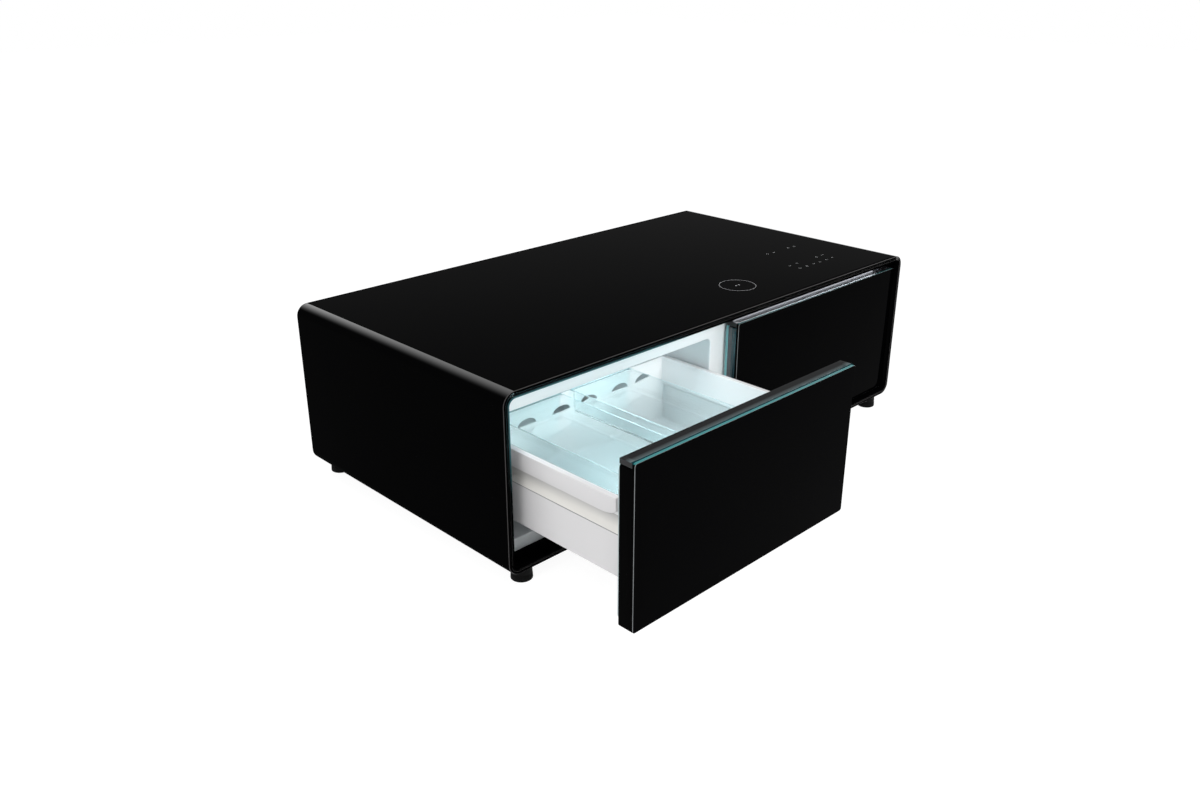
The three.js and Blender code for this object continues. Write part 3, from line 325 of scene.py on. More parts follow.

# %% [markdown]
# ## The finishes
#
# Gloss black is the main one. A black glass or lacquer mirrors only a few parts in a hundred of what stands
# in front of it, so its body is almost black and a thin clear coat carries the whole mirror image. An arris
# is the narrow eased edge between two faces. It catches more light than they do, and its finish adds a
# painted highlight: a paler base and a far thicker clear coat than the faces beside it.

# %% Blacks: lacquer, glass, the fronts' cores and the grip strips
NO_SHEEN = {"Specular_IOR_Level": 0.0}
BRUSHED = {"grain": 500, "patch": 30, "bump": 0.000004, "stretch": (0.02, 1, 1), "Coat_Weight": 0.22,
           "Coat_Roughness": 0.10, **NO_SHEEN}
lacquer_black = finish("lacquer_black", (0.0004, 0.0004, 0.0005), (0.0007, 0.0007, 0.0008), (0.30, 0.40),
                       grain=140, bump=0.000004, Coat_Weight=0.01, Coat_Roughness=0.05, Coat_IOR=1.8,
                       **NO_SHEEN)
# A painted highlight for the arrises: paler and far glossier than the lacquer, so the edges draw pale lines.
lacquer_arris_highlight = finish("lacquer_arris_highlight", (0.022, 0.020, 0.020), (0.030, 0.027, 0.027), (0.30, 0.40), grain=140,
                       bump=0.000004, Coat_Weight=0.8, Coat_Roughness=0.12, **NO_SHEEN)
glass_black = finish("glass_black", (0.0004, 0.0004, 0.0005), (0.0006, 0.0006, 0.0007), (0.20, 0.30),
                     grain=60, bump=0.0000015, Coat_Weight=0.03, Coat_Roughness=0.01, **NO_SHEEN)
core_black = finish("core_black", (0.0004, 0.0004, 0.0005), (0.0008, 0.0008, 0.0008), (0.3, 0.42), grain=160,
                    bump=0.000006, Coat_Weight=0.03, Coat_Roughness=0.06, **NO_SHEEN)
grip_metal = finish("grip_metal", (0.010, 0.010, 0.011), (0.014, 0.0135, 0.015), (0.28, 0.38), **BRUSHED)
texture_black = finish("texture_black", (0.010, 0.010, 0.011), (0.016, 0.016, 0.017), (0.5, 0.62), grain=1600,
                       bump=0.00012, Specular_IOR_Level=0.3)
enamel_black = finish("enamel_black", (0.012, 0.012, 0.012), (0.02, 0.02, 0.02), (0.25, 0.4), grain=250,
                      bump=0.00004, Specular_IOR_Level=0.4)
fan_black = finish("fan_black", (0.016, 0.017, 0.018), (0.024, 0.024, 0.026), (0.35, 0.5), grain=700,
                   bump=0.00003)
foot_rubber = finish("foot_rubber", (0.002, 0.002, 0.002), (0.004, 0.004, 0.004), (0.6, 0.8), grain=1500,
                     bump=0.00008, Specular_IOR_Level=0.1)
tell_finishes()

# %% [markdown]
# The mouldings are semi-gloss white. The drawer box has four shades of it, with light and shade painted in:
# its outside meets warmer and weaker light than its inside, so the lower wall is painted a little darker as
# shade and the recess creamier as warm light, and the groove between them is painted grey as a shadow line.

# %% Whites, metals and the colours of the machine bay
MOULDED = {"grain": 600, "bump": 0.00001, "Specular_IOR_Level": 0.35}
liner_white = finish("liner_white", (0.80, 0.84, 0.85), (0.82, 0.855, 0.865), (0.32, 0.36), grain=350,
                     bump=0.00001, Coat_Weight=0.12, Coat_Roughness=0.15)
# Lit and shaded copies of the box's one white: lighter inside, and painted shade, warm light and a shadow
# line outside.
box_white = finish("box_white", (0.87, 0.875, 0.88), (0.885, 0.89, 0.895), (0.33, 0.38), **MOULDED)
box_side_shaded = finish("box_side_shaded", (0.755, 0.742, 0.746), (0.77, 0.757, 0.761), (0.33, 0.38), **MOULDED)
recess_painted_light_and_shade = finish("recess_painted_light_and_shade", (0.845, 0.825, 0.785), (0.86, 0.84, 0.80), (0.33, 0.38), **MOULDED)
groove_painted_shadow = finish("groove_painted_shadow", (0.34, 0.335, 0.335), (0.39, 0.385, 0.385), (0.4, 0.5), grain=600, bump=0.00001)
# The seal's grey, with the compartment's cool light painted in as pale teal.
seal_grey_painted_teal = finish("seal_grey_painted_teal", (0.51, 0.60, 0.61), (0.57, 0.66, 0.67), (0.5, 0.65), grain=1200, bump=0.00004)
# The duct cover is painted teal grey, as painted shade for what the vents show behind the box.
duct_painted_shade = finish("duct_painted_shade", (0.55, 0.66, 0.68), (0.60, 0.70, 0.72), (0.35, 0.5), grain=700, bump=0.00002)
control_grey = finish("control_grey", (0.14, 0.15, 0.16), (0.18, 0.19, 0.20), (0.4, 0.55), grain=900,
                      bump=0.00008)
aluminium = finish("aluminium", (0.62, 0.62, 0.63), (0.70, 0.70, 0.71), (0.25, 0.4), grain=700, patch=40,
                   bump=0.00002, stretch=(1, 1, 0.05), Metallic=1.0)
copper = finish("copper", (0.60, 0.28, 0.15), (0.72, 0.36, 0.22), (0.2, 0.35), grain=300, patch=50,
                bump=0.00001, Metallic=1.0)
coil_copper = finish("coil_copper", (0.45, 0.20, 0.10), (0.62, 0.30, 0.16), (0.3, 0.5), grain=500, patch=200)
foam = finish("foam", (0.74, 0.65, 0.40), (0.84, 0.76, 0.50), (0.85, 0.95), grain=500, patch=20, bump=0.0006)
board_green = finish("board_green", (0.01, 0.10, 0.035), (0.02, 0.16, 0.06), (0.3, 0.5), grain=900, patch=120)
tell_finishes()

# %% [markdown]
# The case's two upper corners carry a painted highlight: a pale streak where the lacquer turns over from the
# top. The angle round the corner's centre gives a mask: full at the top, nothing half way down. It raises the
# clear coat there, so the corners mirror the white studio far more than the rest of the lacquer does.

# %% A painted highlight: a pale streak on the upper corners
CASE_RADIUS = 26 * mm
STREAK_FROM, STREAK_TO = math.radians(38), math.radians(82)
COAT_PLAIN, COAT_STREAK = 0.01, 1.0
PAST_CORNER, SMALLEST_ACROSS = 0.2 * mm, 0.01 * mm


def object_axes(tree):
    """The outputs X, Y and Z of the piece's own coordinates."""
    where = tree.nodes.new("ShaderNodeTexCoord")
    split = tree.nodes.new("ShaderNodeSeparateXYZ")
    tree.links.new(where.outputs["Object"], split.inputs[0])
    return split.outputs


def ramp(tree, value, start, end, low=0.0, high=1.0, kind="LINEAR"):
    """Climbs from low to high while value goes from start to end, and stays level beyond."""
    node = tree.nodes.new("ShaderNodeMapRange")
    node.interpolation_type = kind
    tree.links.new(value, node.inputs["Value"])
    for socket, number in (("From Min", start), ("From Max", end), ("To Min", low), ("To Max", high)):
        node.inputs[socket].default_value = number
    return node.outputs["Result"]


case_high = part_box("outer_case")[1]
tree = lacquer_black.node_tree
axes = object_axes(tree)
across = math_node(tree, "SUBTRACT", math_node(tree, "ABSOLUTE", axes["X"]), case_high[0] - CASE_RADIUS)
up = math_node(tree, "SUBTRACT", axes["Z"], case_high[2] - CASE_RADIUS)
angle = math_node(tree, "ARCTAN2", up, math_node(tree, "MAXIMUM", across, SMALLEST_ACROSS))
# The painted highlight: the coat climbs from plain to full over the corner's upper part.
streak = ramp(tree, angle, STREAK_FROM, STREAK_TO, COAT_PLAIN, COAT_STREAK, "SMOOTHERSTEP")
beyond = math_node(tree, "MULTIPLY", math_node(tree, "GREATER_THAN", across, PAST_CORNER), streak)
coat = math_node(tree, "MAXIMUM", beyond, COAT_PLAIN)
tree.links.new(coat, tree.nodes["Principled BSDF"].inputs["Coat Weight"])
print("lacquer nodes:", len(tree.nodes))

# %% [markdown]
# ## The light lenses
#
# A frosted lens under each header glows a cool white. The two small lamps help the left one. No lamp lies in
# the right compartment, because the closed front would only trap its light. There the lens's underside glows
# harder and lights the drawer by itself once it is pulled out, and the rest of the lens is plain grey.

# %% Lens finishes
FROSTED = {"shade_a": (0.85, 0.97, 1.0), "shade_b": (0.9, 0.99, 1.0), "rough": (0.4, 0.5), "grain": 600}
lens_glow = finish("lens_glow", **FROSTED, Emission_Strength=4.0, Emission_Color=(0.52, 0.88, 1.0, 1))
lens_dim = finish("lens_dim", **FROSTED, Emission_Strength=14.0, Emission_Color=(0.90, 0.92, 1.0, 1))
print("lens finishes:", lens_glow.name, lens_dim.name)

# %% [markdown]
# ## Clear trays
#
# The trays are moulded from clear plastic with a cold tint that deepens where the wall is seen edge on. Real
# refraction and a glossy coat keep the blurred mirror images of the vents. Light bent by so many thin walls
# would reach the box only as a few bright specks, so shadow rays and diffuse rays meet a thin tinted film in
# place of the plastic.

# %% Clear tray plastic
FILM_COLOUR = (0.90, 0.98, 0.985)
tray_clear = finish("tray_clear", (0.925, 0.978, 0.982), (0.95, 0.986, 0.99), (0.03, 0.08), grain=40,
                    bump=0.000004, IOR=1.11, Transmission_Weight=1.0, Coat_Weight=1.0, Coat_Roughness=0.12,
                    Coat_IOR=1.7)
tray_rim = finish("tray_rim", (0.58, 0.80, 0.83), (0.64, 0.84, 0.87), (0.12, 0.2), grain=40, bump=0.000004,
                  Coat_Weight=0.4, Coat_Roughness=0.05)
tree = tray_clear.node_tree
path = tree.nodes.new("ShaderNodeLightPath")
lighting = math_node(tree, "MAXIMUM", path.outputs["Is Shadow Ray"], path.outputs["Is Diffuse Ray"])
film = plain_shader(tree, "ShaderNodeBsdfTransparent", FILM_COLOUR)
surface = choose_shader(tree, lighting, tree.nodes["Principled BSDF"].outputs[0], film)
tree.links.new(surface, tree.nodes["Material Output"].inputs["Surface"])
print("tray nodes:", len(tree.nodes))

# %% [markdown]
# ## Edges of the fronts
#
# Clear glass is green seen edge on, and a cool light makes it teal. The open front's top edge and the grip
# strip behind it lie in that light, and it is painted into finishes of their own. The cores' ends towards the
# table's middle are gloss enough to mirror the compartment, and the teal beside them is painted light. The
# pale arris round each glass is a painted highlight. One material with masks could hold all of these, but a
# short list of plain finishes is easier to match one by one.

# %% Cut edges, arrises and the cores' ends
POLISHED = {"rough": (0.15, 0.25), "grain": 300, "bump": 0.00001, "Specular_IOR_Level": 0.1,
            "Coat_Weight": 0.05, "Coat_Roughness": 0.05}
glass_edge = finish("glass_edge", (0.022, 0.085, 0.088), (0.030, 0.11, 0.115), **POLISHED)
# The open front's top edge: the glass's own teal, made brighter by painted cool light.
edge_lit = finish("edge_lit", (0.016, 0.135, 0.14), (0.024, 0.165, 0.17), **POLISHED)
# A painted shade line for the lip of the open front's grip, tinted by the cool light.
lip_painted_shade = finish("lip_painted_shade", (0.002, 0.022, 0.028), (0.004, 0.030, 0.036), (0.3, 0.4), grain=300, bump=0.0,
                  Coat_Weight=0.05, **NO_SHEEN)
# The open front's grip: a copy of the brushed finish, darker, with painted light and shade.
grip_lit = finish("grip_lit", (0.004, 0.0045, 0.005), (0.007, 0.0075, 0.008), (0.28, 0.38), **BRUSHED)
# A painted highlight for the glass's arris: a pale grey under a clear coat.
glass_arris_highlight = finish("glass_arris_highlight", (0.13, 0.14, 0.145), (0.17, 0.18, 0.185), (0.2, 0.3), grain=300,
                     bump=0.00001, Coat_Weight=0.5, Coat_Roughness=0.1)
# The cores' ends: a mirror with a faint painted teal tint, and two stripes of painted teal light.
core_mirror = finish("core_mirror", (0.010, 0.022, 0.030), (0.016, 0.034, 0.042), (0.1, 0.2), grain=60,
                     bump=0.000004, Coat_Weight=1.0, Coat_Roughness=0.03)
core_painted_teal_light = finish("core_painted_teal_light", (0.004, 0.020, 0.028), (0.010, 0.040, 0.050), (0.1, 0.2), grain=60, patch=30,
                   bump=0.000004, Coat_Weight=0.35, Coat_Roughness=0.03)
strip_painted_teal_light = finish("strip_painted_teal_light", (0.16, 0.42, 0.44), (0.20, 0.47, 0.49), (0.2, 0.3), grain=300, bump=0.00001,
                    Coat_Weight=0.2)
tell_finishes()

# %% [markdown]
# ## Surfaces from rings
#
# Nearly every part of the table is a rounded rectangle that changes a little along one direction: a wall
# with a soft edge, a tub that narrows at its floor, a frame with a hole. So one helper gives a rounded
# rectangle as a ring of points, and another skins a stack of rings. All rings of a stack have the same number
# of points, so they join point to point.

# %% Rings
SMALLEST_RADIUS = 0.02 * mm


def corner_ring(a0, a1, b0, b1, radii, steps=8):
    """A rectangle with round corners, anticlockwise. Corner k is centre + radius * (cos t, sin t), with t
    running over its own quarter turn. radii is one value, or four: low right, high right, high left, low
    left."""
    r = np.broadcast_to(np.maximum(np.asarray(radii, float), SMALLEST_RADIUS), 4)
    centre = np.array([[a1 - r[0], b0 + r[0]], [a1 - r[1], b1 - r[1]],
                       [a0 + r[2], b1 - r[2]], [a0 + r[3], b0 + r[3]]])
    start = (np.arange(4) * math.pi / 2 - math.pi / 2)[:, None]
    t = start + np.linspace(0, math.pi / 2, steps + 1)[None, :]
    arc = centre[:, None, :] + r[:, None, None] * np.stack([np.cos(t), np.sin(t)], axis=-1)
    return arc.reshape(-1, 2)


def lift(ring, axis, place):
    """The flat ring put in space at place on an axis. Its two values become X and Y for axis z, X and Z for
    y, and Y and Z for x."""
    level = np.full(len(ring), place)
    a, b = ring[:, 0], ring[:, 1]
    return np.stack({"z": [a, b, level], "y": [a, level, b], "x": [level, a, b]}[axis], axis=1)


def box_ring(low, high, axis, place, inset, radii, steps=8):
    """A box's outline as seen along axis, drawn in by inset, as a ring at place. A pair of insets draws in
    each of the two directions by its own value."""
    a, b = {"z": (0, 1), "y": (0, 2), "x": (1, 2)}[axis]
    in_a, in_b = np.broadcast_to(inset, 2)
    ring = corner_ring(low[a] + in_a, high[a] - in_a, low[b] + in_b, high[b] - in_b, radii, steps)
    return lift(ring, axis, place)


def easing(radius, steps):
    """A quarter circle between two faces, as pairs (inset, rise) from (radius, 0) to (0, radius): inset is
    radius * (1 - sin t) and rise is radius * (1 - cos t)."""
    turns = np.linspace(0, math.pi / 2, steps + 1)
    return [(radius * (1 - math.sin(t)), radius * (1 - math.cos(t))) for t in turns]


print("points in a ring:", len(corner_ring(0, 1, 0, 1, 0.1)))

# %% [markdown]
# A finished piece shades smoothly, but an edge that turns sharply stays crisp. It rides on its body, so that
# it follows the drawer or the tray when a pose moves it, and it takes the place of the plain solid. Holes are
# cut by closed blocks that are removed afterwards.

# %% Skins and cuts
PIECE_WELD, CUTTER_WELD = 1e-6, 1e-7
CRISP_ANGLE = math.radians(38)
# How much of a face's normal lies along an axis when the face is about square to it, or quite flat.
SQUARE_ON, FLAT_ON = 0.75, 0.97


def ring_mesh(name, rings, weld, closed=False):
    """Joins ring i to ring i + 1 point by point with four-sided faces. A closed stack joins its last ring to
    its first, and an open one gets a flat cap on each end. Points closer than weld become one."""
    rings = np.asarray(rings, float)
    m, n = rings.shape[:2]
    i = np.arange(m if closed else m - 1)[:, None]
    j = np.arange(n)[None, :]
    i2, j2 = (i + 1) % m, (j + 1) % n
    faces = np.stack([i * n + j, i * n + j2, i2 * n + j2, i2 * n + j], axis=-1).reshape(-1, 4).tolist()
    if not closed:
        faces += [list(range(n))[::-1], list(range((m - 1) * n, m * n))]
    mesh = bpy.data.meshes.new(name)
    mesh.from_pydata(rings.reshape(-1, 3).tolist(), [], faces)
    work = bmesh.new()
    work.from_mesh(mesh)
    bmesh.ops.remove_doubles(work, verts=work.verts, dist=weld)
    bmesh.ops.recalc_face_normals(work, faces=work.faces)
    work.to_mesh(mesh)
    work.free()
    return mesh


def shade(mesh, crisp):
    """Smooth shading all over, except at edges that turn by more than crisp."""
    for polygon in mesh.polygons:
        polygon.use_smooth = True
    mesh.set_sharp_from_angle(angle=crisp)


def skin(name, rings, look, body, closed=False, replaces=None, slot=None):
    """A finished piece from a stack of rings, riding on its body."""
    mesh = ring_mesh(name, rings, PIECE_WELD, closed)
    shade(mesh, CRISP_ANGLE)
    piece = placed(name, mesh)
    mesh.materials.append(look)
    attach(piece, body)
    if replaces:
        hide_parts(replaces)
    return piece


def cutter(rings):
    """A closed block to cut with, which rides on nothing because it doesn't stay."""
    return placed("cutter", ring_mesh("cutter", rings, CUTTER_WELD))


def carve(piece, cutters):
    """Cuts the blocks out of piece, then removes them."""
    for block in cutters:
        hole = piece.modifiers.new("hole", "BOOLEAN")
        hole.operation = "DIFFERENCE"
        hole.object = block
        hole.solver = "EXACT"
    graph = bpy.context.evaluated_depsgraph_get()
    made = bpy.data.meshes.new_from_object(piece.evaluated_get(graph))
    piece.modifiers.clear()
    piece.data = made
    for block in cutters:
        bpy.data.objects.remove(block, do_unlink=True)
    return piece


def paint(piece, look, chosen):
    """Gives a further material to the faces for which chosen(face) is true."""
    piece.data.materials.append(look)
    for face in piece.data.polygons:
        if chosen(face):
            face.material_index = len(piece.data.materials) - 1


def near_y(place, width):
    """Chooses the faces of an eased edge: within width of the plane Y = place, and turned away from it."""
    return lambda face: abs(face.center.y - place) < width and abs(face.normal.y) < FLAT_ON


print("crisp above degrees:", round(math.degrees(CRISP_ANGLE)))

# %% [markdown]
# ## Case and glass top
#
# The case is one sheet bent round the table, so its section is a thin wall carried once round a rounded
# rectangle. Its front and back arrises are eased by a millimetre or so, and that narrow curve carries the
# pale line along the edge, a painted highlight in a finish of its own. A Bevel modifier could ease them too,
# but rings put the curve's faces where they can be painted. The glass lies in a shallow pocket cut into the
# top. At the back a narrow lip inside the case gives the cover something to be screwed to.

# %% Case
CASE_WALL, CASE_ARRIS = 6 * mm, 1.2 * mm
FIT = 0.3 * mm
GLASS_RADIUS = 8 * mm
OVERRUN = 5 * mm
CASE_STEPS = 12


def band(name, low, high, outer_radius, inner_radius, wall, near, far, edge, **more):
    """A rectangular tube along Y in black lacquer. Each point (inset, y) of the wall's section makes a
    rounded rectangle drawn in by that inset, whose corner radius runs from the outer to the inner value."""
    rings = []
    for inset, y in corner_ring(0.0, wall, near, far, edge, steps=4):
        radius = outer_radius + (inner_radius - outer_radius) * inset / wall
        rings.append(box_ring(low, high, "y", y, inset, radius, CASE_STEPS))
    return skin(name, rings, lacquer_black, "cabinet", closed=True, **more)


low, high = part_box("outer_case")
case = band("case", low, high, CASE_RADIUS, CASE_RADIUS - CASE_WALL, CASE_WALL, low[1], high[1], CASE_ARRIS,
            replaces="outer_case", slot="case_gloss_black")
for y in (low[1], high[1]):
    # The case's front and back arrises take the painted highlight.
    paint(case, lacquer_arris_highlight, near_y(y, CASE_ARRIS))
glass_low, glass_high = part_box("top_glass")
pocket = [box_ring(glass_low, glass_high, "z", z, -FIT, GLASS_RADIUS)
          for z in (glass_low[2] - FIT, high[2] + OVERRUN)]
carve(case, [cutter(pocket)])
print("case faces:", len(case.data.polygons))

# %% Glass top: a flat sheet whose edge is ground to a soft quarter round
GLASS_EDGE, MARK_ROOM = 0.9 * mm, 0.1 * mm
top_z = glass_high[2] - MARK_ROOM
outline = [(0.0, glass_low[2])] + [(rise, top_z - inset) for inset, rise in easing(GLASS_EDGE, 4)]
rings = [box_ring(glass_low, glass_high, "z", z, inset, GLASS_RADIUS - FIT - inset) for inset, z in outline]
skin("glass_top", rings, glass_black, "cabinet", replaces="top_glass", slot="top_glass_black")
print("glass top at", round(top_z, 5))

# %% Rear lip inside the case, where the cover is screwed
REAR_LIP = {"width": 12 * mm, "thick": 3 * mm, "inner_radius": 8 * mm}
INSIDE_RADIUS = CASE_RADIUS - CASE_WALL - FIT
low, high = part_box("rear_cover")
lip = band("case_rear_lip", low, high, INSIDE_RADIUS, REAR_LIP["inner_radius"], REAR_LIP["width"],
           low[1] - FIT - REAR_LIP["thick"], low[1] - FIT, FIT)
print("lip faces:", len(lip.data.polygons))

# %% [markdown]
# ## Front frame
#
# A gloss black band trims the mouth of the case. Its inner corners are tighter than its outer ones, and the
# two pale lines in the photograph are its front arris and the case's own, side by side, each a painted
# highlight. Past the arris and a narrow flat, its face slopes back towards the mouth. That slope has a
# painted teal glow round the upper left of the open mouth, where the cool light reaches it, so its finish
# blends from black to teal along all three directions.

# %% A colour that is blended in along the piece
# Each use of this blend paints light or shade into a finish.
def blend_along(look, ramps, colour):
    """Mixes colour into a finish. Its share is the product of the ramps, and each ramp climbs from 0 to 1
    between two places along one axis of the piece."""
    tree = look.node_tree
    axes = object_axes(tree)
    share = 1.0
    for axis, none, full in ramps:
        share = math_node(tree, "MULTIPLY", share, ramp(tree, axes[axis], none, full))
    tint = tree.nodes.new("ShaderNodeMix")
    tint.data_type = "RGBA"
    base = tree.nodes["Principled BSDF"].inputs["Base Color"]
    tree.links.new(base.links[0].from_socket, tint.inputs[MIX_FIRST])
    tint.inputs[MIX_SECOND].default_value = (*colour, 1)
    tree.links.new(share, tint.inputs["Factor"])
    tree.links.new(tint.outputs[MIX_RESULT], base)


low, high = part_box("front_frame")
near, far = low[1], high[1]
slope_painted_glow = finish("slope_painted_glow", (0.0006, 0.0006, 0.0007), (0.0008, 0.0008, 0.0009), (0.4, 0.5), grain=140,
                    bump=0.0, **NO_SHEEN)
# Each row: the axis, where the painted teal glow begins and where it is full.
SLOPE_GLOW_RAMPS = (("Y", near + 0.2 * mm, near + 1.5 * mm), ("X", -160 * mm, -270 * mm), ("Z", 200 * mm, 300 * mm))
SLOPE_GLOW_COLOUR = (0.06, 0.155, 0.175)
blend_along(slope_painted_glow, SLOPE_GLOW_RAMPS, SLOPE_GLOW_COLOUR)
print("slope nodes:", len(slope_painted_glow.node_tree.nodes))

# %% Frame
FRAME_WALL, FRAME_ARRIS = 8.7 * mm, 0.9 * mm
FRAME_RADII = (INSIDE_RADIUS, 18 * mm, 15 * mm)
SLOPE_FROM, SLOPE_DEPTH, SLOPE_EASE = 2.2 * mm, 1.5 * mm, 0.3 * mm
EASE_START, EASE_END, SLOPE_PAINT = 0.08 * mm, 0.4 * mm, 0.05 * mm
SLOPE_TURN_LOW, SLOPE_TURN_HIGH = 0.1, 0.999
section = [(rise, near + inset) for inset, rise in easing(FRAME_ARRIS, 4)]
section += [(SLOPE_FROM, near), (SLOPE_FROM + SLOPE_EASE, near + EASE_START)]
section += [(FRAME_WALL - SLOPE_EASE, near + SLOPE_DEPTH), (FRAME_WALL, near + SLOPE_DEPTH + EASE_END)]
section += [(FRAME_WALL, far), (0.0, far)]
rings = []
for inset, y in section:
    radius = np.interp(inset, (0, SLOPE_FROM, FRAME_WALL), FRAME_RADII)
    rings.append(box_ring(low, high, "y", y, inset, radius, CASE_STEPS))
front_frame = skin("front_frame", rings, lacquer_black, "cabinet", closed=True, replaces="front_frame",
                   slot="frame_gloss_black")


def on_slope(face):
    """True for the faces that slope from the arris back to the mouth."""
    inside = near + SLOPE_PAINT < face.center.y < near + SLOPE_DEPTH + SLOPE_EASE
    return inside and SLOPE_TURN_LOW < abs(face.normal.y) < SLOPE_TURN_HIGH


# The frame's front arris takes the painted highlight too.
paint(front_frame, lacquer_arris_highlight, near_y(near, FRAME_ARRIS))
# The slope takes the painted teal glow.
paint(front_frame, slope_painted_glow, on_slope)
print("frame faces:", len(front_frame.data.polygons))

# %% [markdown]
# ## Liners
#
# Each compartment is lined with one white sheet drawn over a former: a flat flange that the seal closes on, a
# soft bend into the mouth, straight walls and a rounded back. A Solidify modifier could thicken one sheet,
# but the folds at its tight bends would need care. So one stack of rings follows that path along the inside
# and comes back along the outside, and the liner is a thin closed skin.

# %% Liners
SHEET = 2 * mm
MOUTH = {"near": 32 * mm, "far": 617 * mm, "low": 73 * mm, "high": 340 * mm, "radius": 12 * mm}
MOUTH_BEND, LINER_BACK_ROUND = 3 * mm, 10 * mm
BACK_TIGHTER_SHARE = 0.9
FLANGE_CORNER = 0.4 * mm


def liner(side, s):
    """Rings in order: the rounded back, the bend into the mouth, the flange's two faces, then the outside.
    The mouth runs from its near to its far distance from the table's middle."""
    low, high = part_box("liner_" + side)
    x0, x1 = sorted((s * MOUTH["near"], s * MOUTH["far"]))
    mouth_low, mouth_high = (x0, low[1], MOUTH["low"]), (x1, high[1], MOUTH["high"])
    outer_corners = [INSIDE_RADIUS if s == end else FLANGE_CORNER for end in (1, 1, -1, -1)]
    flange_y, back, round_in = low[1], high[1], MOUTH["radius"]

    def mouth(grow, y, radius):
        return box_ring(mouth_low, mouth_high, "y", y, -grow, radius)

    rings = [mouth(-inset, back - SHEET - rise, round_in - inset * BACK_TIGHTER_SHARE)
             for inset, rise in easing(LINER_BACK_ROUND, 5)]
    rings += [mouth(rise, flange_y + inset, round_in + rise) for inset, rise in easing(MOUTH_BEND, 5)]
    rings += [box_ring(low, high, "y", y, 0.0, outer_corners) for y in (flange_y, flange_y + SHEET)]
    rings += [mouth(SHEET + MOUTH_BEND, flange_y + SHEET, round_in + MOUTH_BEND)]
    rings += [mouth(SHEET, y, round_in + SHEET) for y in (flange_y + SHEET + MOUTH_BEND, back - SHEET)]
    rings += [mouth(0.0, back, round_in)]
    return skin("liner_" + side + "_skin", rings, liner_white, "cabinet", replaces="liner_" + side,
                slot="liner_white")


for side, s in SIDES.items():
    print(side, "liner faces:", len(liner(side, s).data.polygons))

# %% [markdown]
# The lens is a strip of frosted plastic that is round below, where it shows. Its ends are drawn in a little,
# so that they look moulded and not sawn.

# %% Light lens under each header
LENS_ROUND, LENS_CORNER, LENS_END = 2.4 * mm, 0.4 * mm, 0.6 * mm
LENS_END_SHARE = 0.85
# A face belongs to the underside when its normal points down by more than this.
LENS_UNDER = 0.9


def scaled_ring(section, share, x):
    """The section shrunk about its middle to share, as a ring at x."""
    middle = section.mean(axis=0)
    return lift(middle + (section - middle) * share, "x", x)


for side, s in SIDES.items():
    low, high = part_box("interior_light_" + side)
    corners = [LENS_ROUND, LENS_CORNER, LENS_CORNER, LENS_ROUND]
    section = corner_ring(low[1], high[1], low[2], high[2], corners, steps=6)
    rings = [scaled_ring(section, LENS_END_SHARE, low[0]), scaled_ring(section, 1, low[0] + LENS_END),
             scaled_ring(section, 1, high[0] - LENS_END), scaled_ring(section, LENS_END_SHARE, high[0])]
    lens = skin("light_lens_" + side, rings, lens_glow if s < 0 else control_grey, "cabinet",
                replaces="interior_light_" + side, slot="light_strip")
    if s > 0:
        paint(lens, lens_dim, lambda face: face.normal.z < -LENS_UNDER)
    print(side, "lens faces:", len(lens.data.polygons))

# %% [markdown]
# ## Drawer fronts
#
# A front is three things in a sandwich: a sheet of black-backed glass with a polished edge, a gloss black
# core behind it, and a brushed dark strip along the top with a trough for the fingers. The polished edge
# shows the glass's own teal, with the cool light painted in on the open front, so its top faces get a second
# material. The end of each core that faces the table's middle has three stripes: painted dark teal light
# behind the glass, then a mirror with a faint painted teal tint, then a strip of painted pale teal light.
# They could be separate parts, but one solid whose faces are split at two depths has no gaps to show.

# %% Glass panels and cores
FRONT_RADIUS = 6 * mm
PANEL_NEAR, PANEL_FAR = 1.0 * mm, 0.6 * mm
CORE_NEAR, CORE_FAR = 0.5 * mm, 1.2 * mm
# How deep the painted dark teal stripe reaches from the front, and the pale strip from the back.
CORE_DARK, CORE_STRIP = 12 * mm, 7 * mm
# The pale strip goes further round the corner: its faces turn to the table's middle by more than this.
STRIP_TURN = 0.3


def slab(name, low, high, near_edge, far_edge, look, body, cuts=(), **more):
    """A sheet that stands in X and Z. Near each face the outline draws in along a quarter circle. Each cut is
    a depth behind the front where the rim's faces are split, so that they can take another material."""
    def outline(inset, y):
        return box_ring(low, high, "y", y, inset, FRONT_RADIUS - inset)

    rings = [outline(inset, low[1] + rise) for inset, rise in easing(near_edge, 4)]
    rings += [outline(0.0, low[1] + cut) for cut in cuts]
    rings += [outline(inset, high[1] - rise) for inset, rise in easing(far_edge, 4)[::-1]]
    return skin(name, rings, look, body, **more)


def glass_panel(side, s, body):
    """The glass, with a painted highlight as a pale arris round its face, and a teal top edge: the glass's
    own teal, with the cool light painted in on the open front.
    """
    low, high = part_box(side + "_front_glass")
    glass = slab(side + "_glass_panel", low, high, PANEL_NEAR, PANEL_FAR, glass_black, body,
                 replaces=side + "_front_glass", slot="front_glass_black")
    paint(glass, glass_arris_highlight, near_y(low[1], PANEL_NEAR))
    # The top edge: the glass's own teal, with painted cool light on the open front.
    paint(glass, edge_lit if s < 0 else glass_edge, lambda face: face.normal.z > SQUARE_ON)


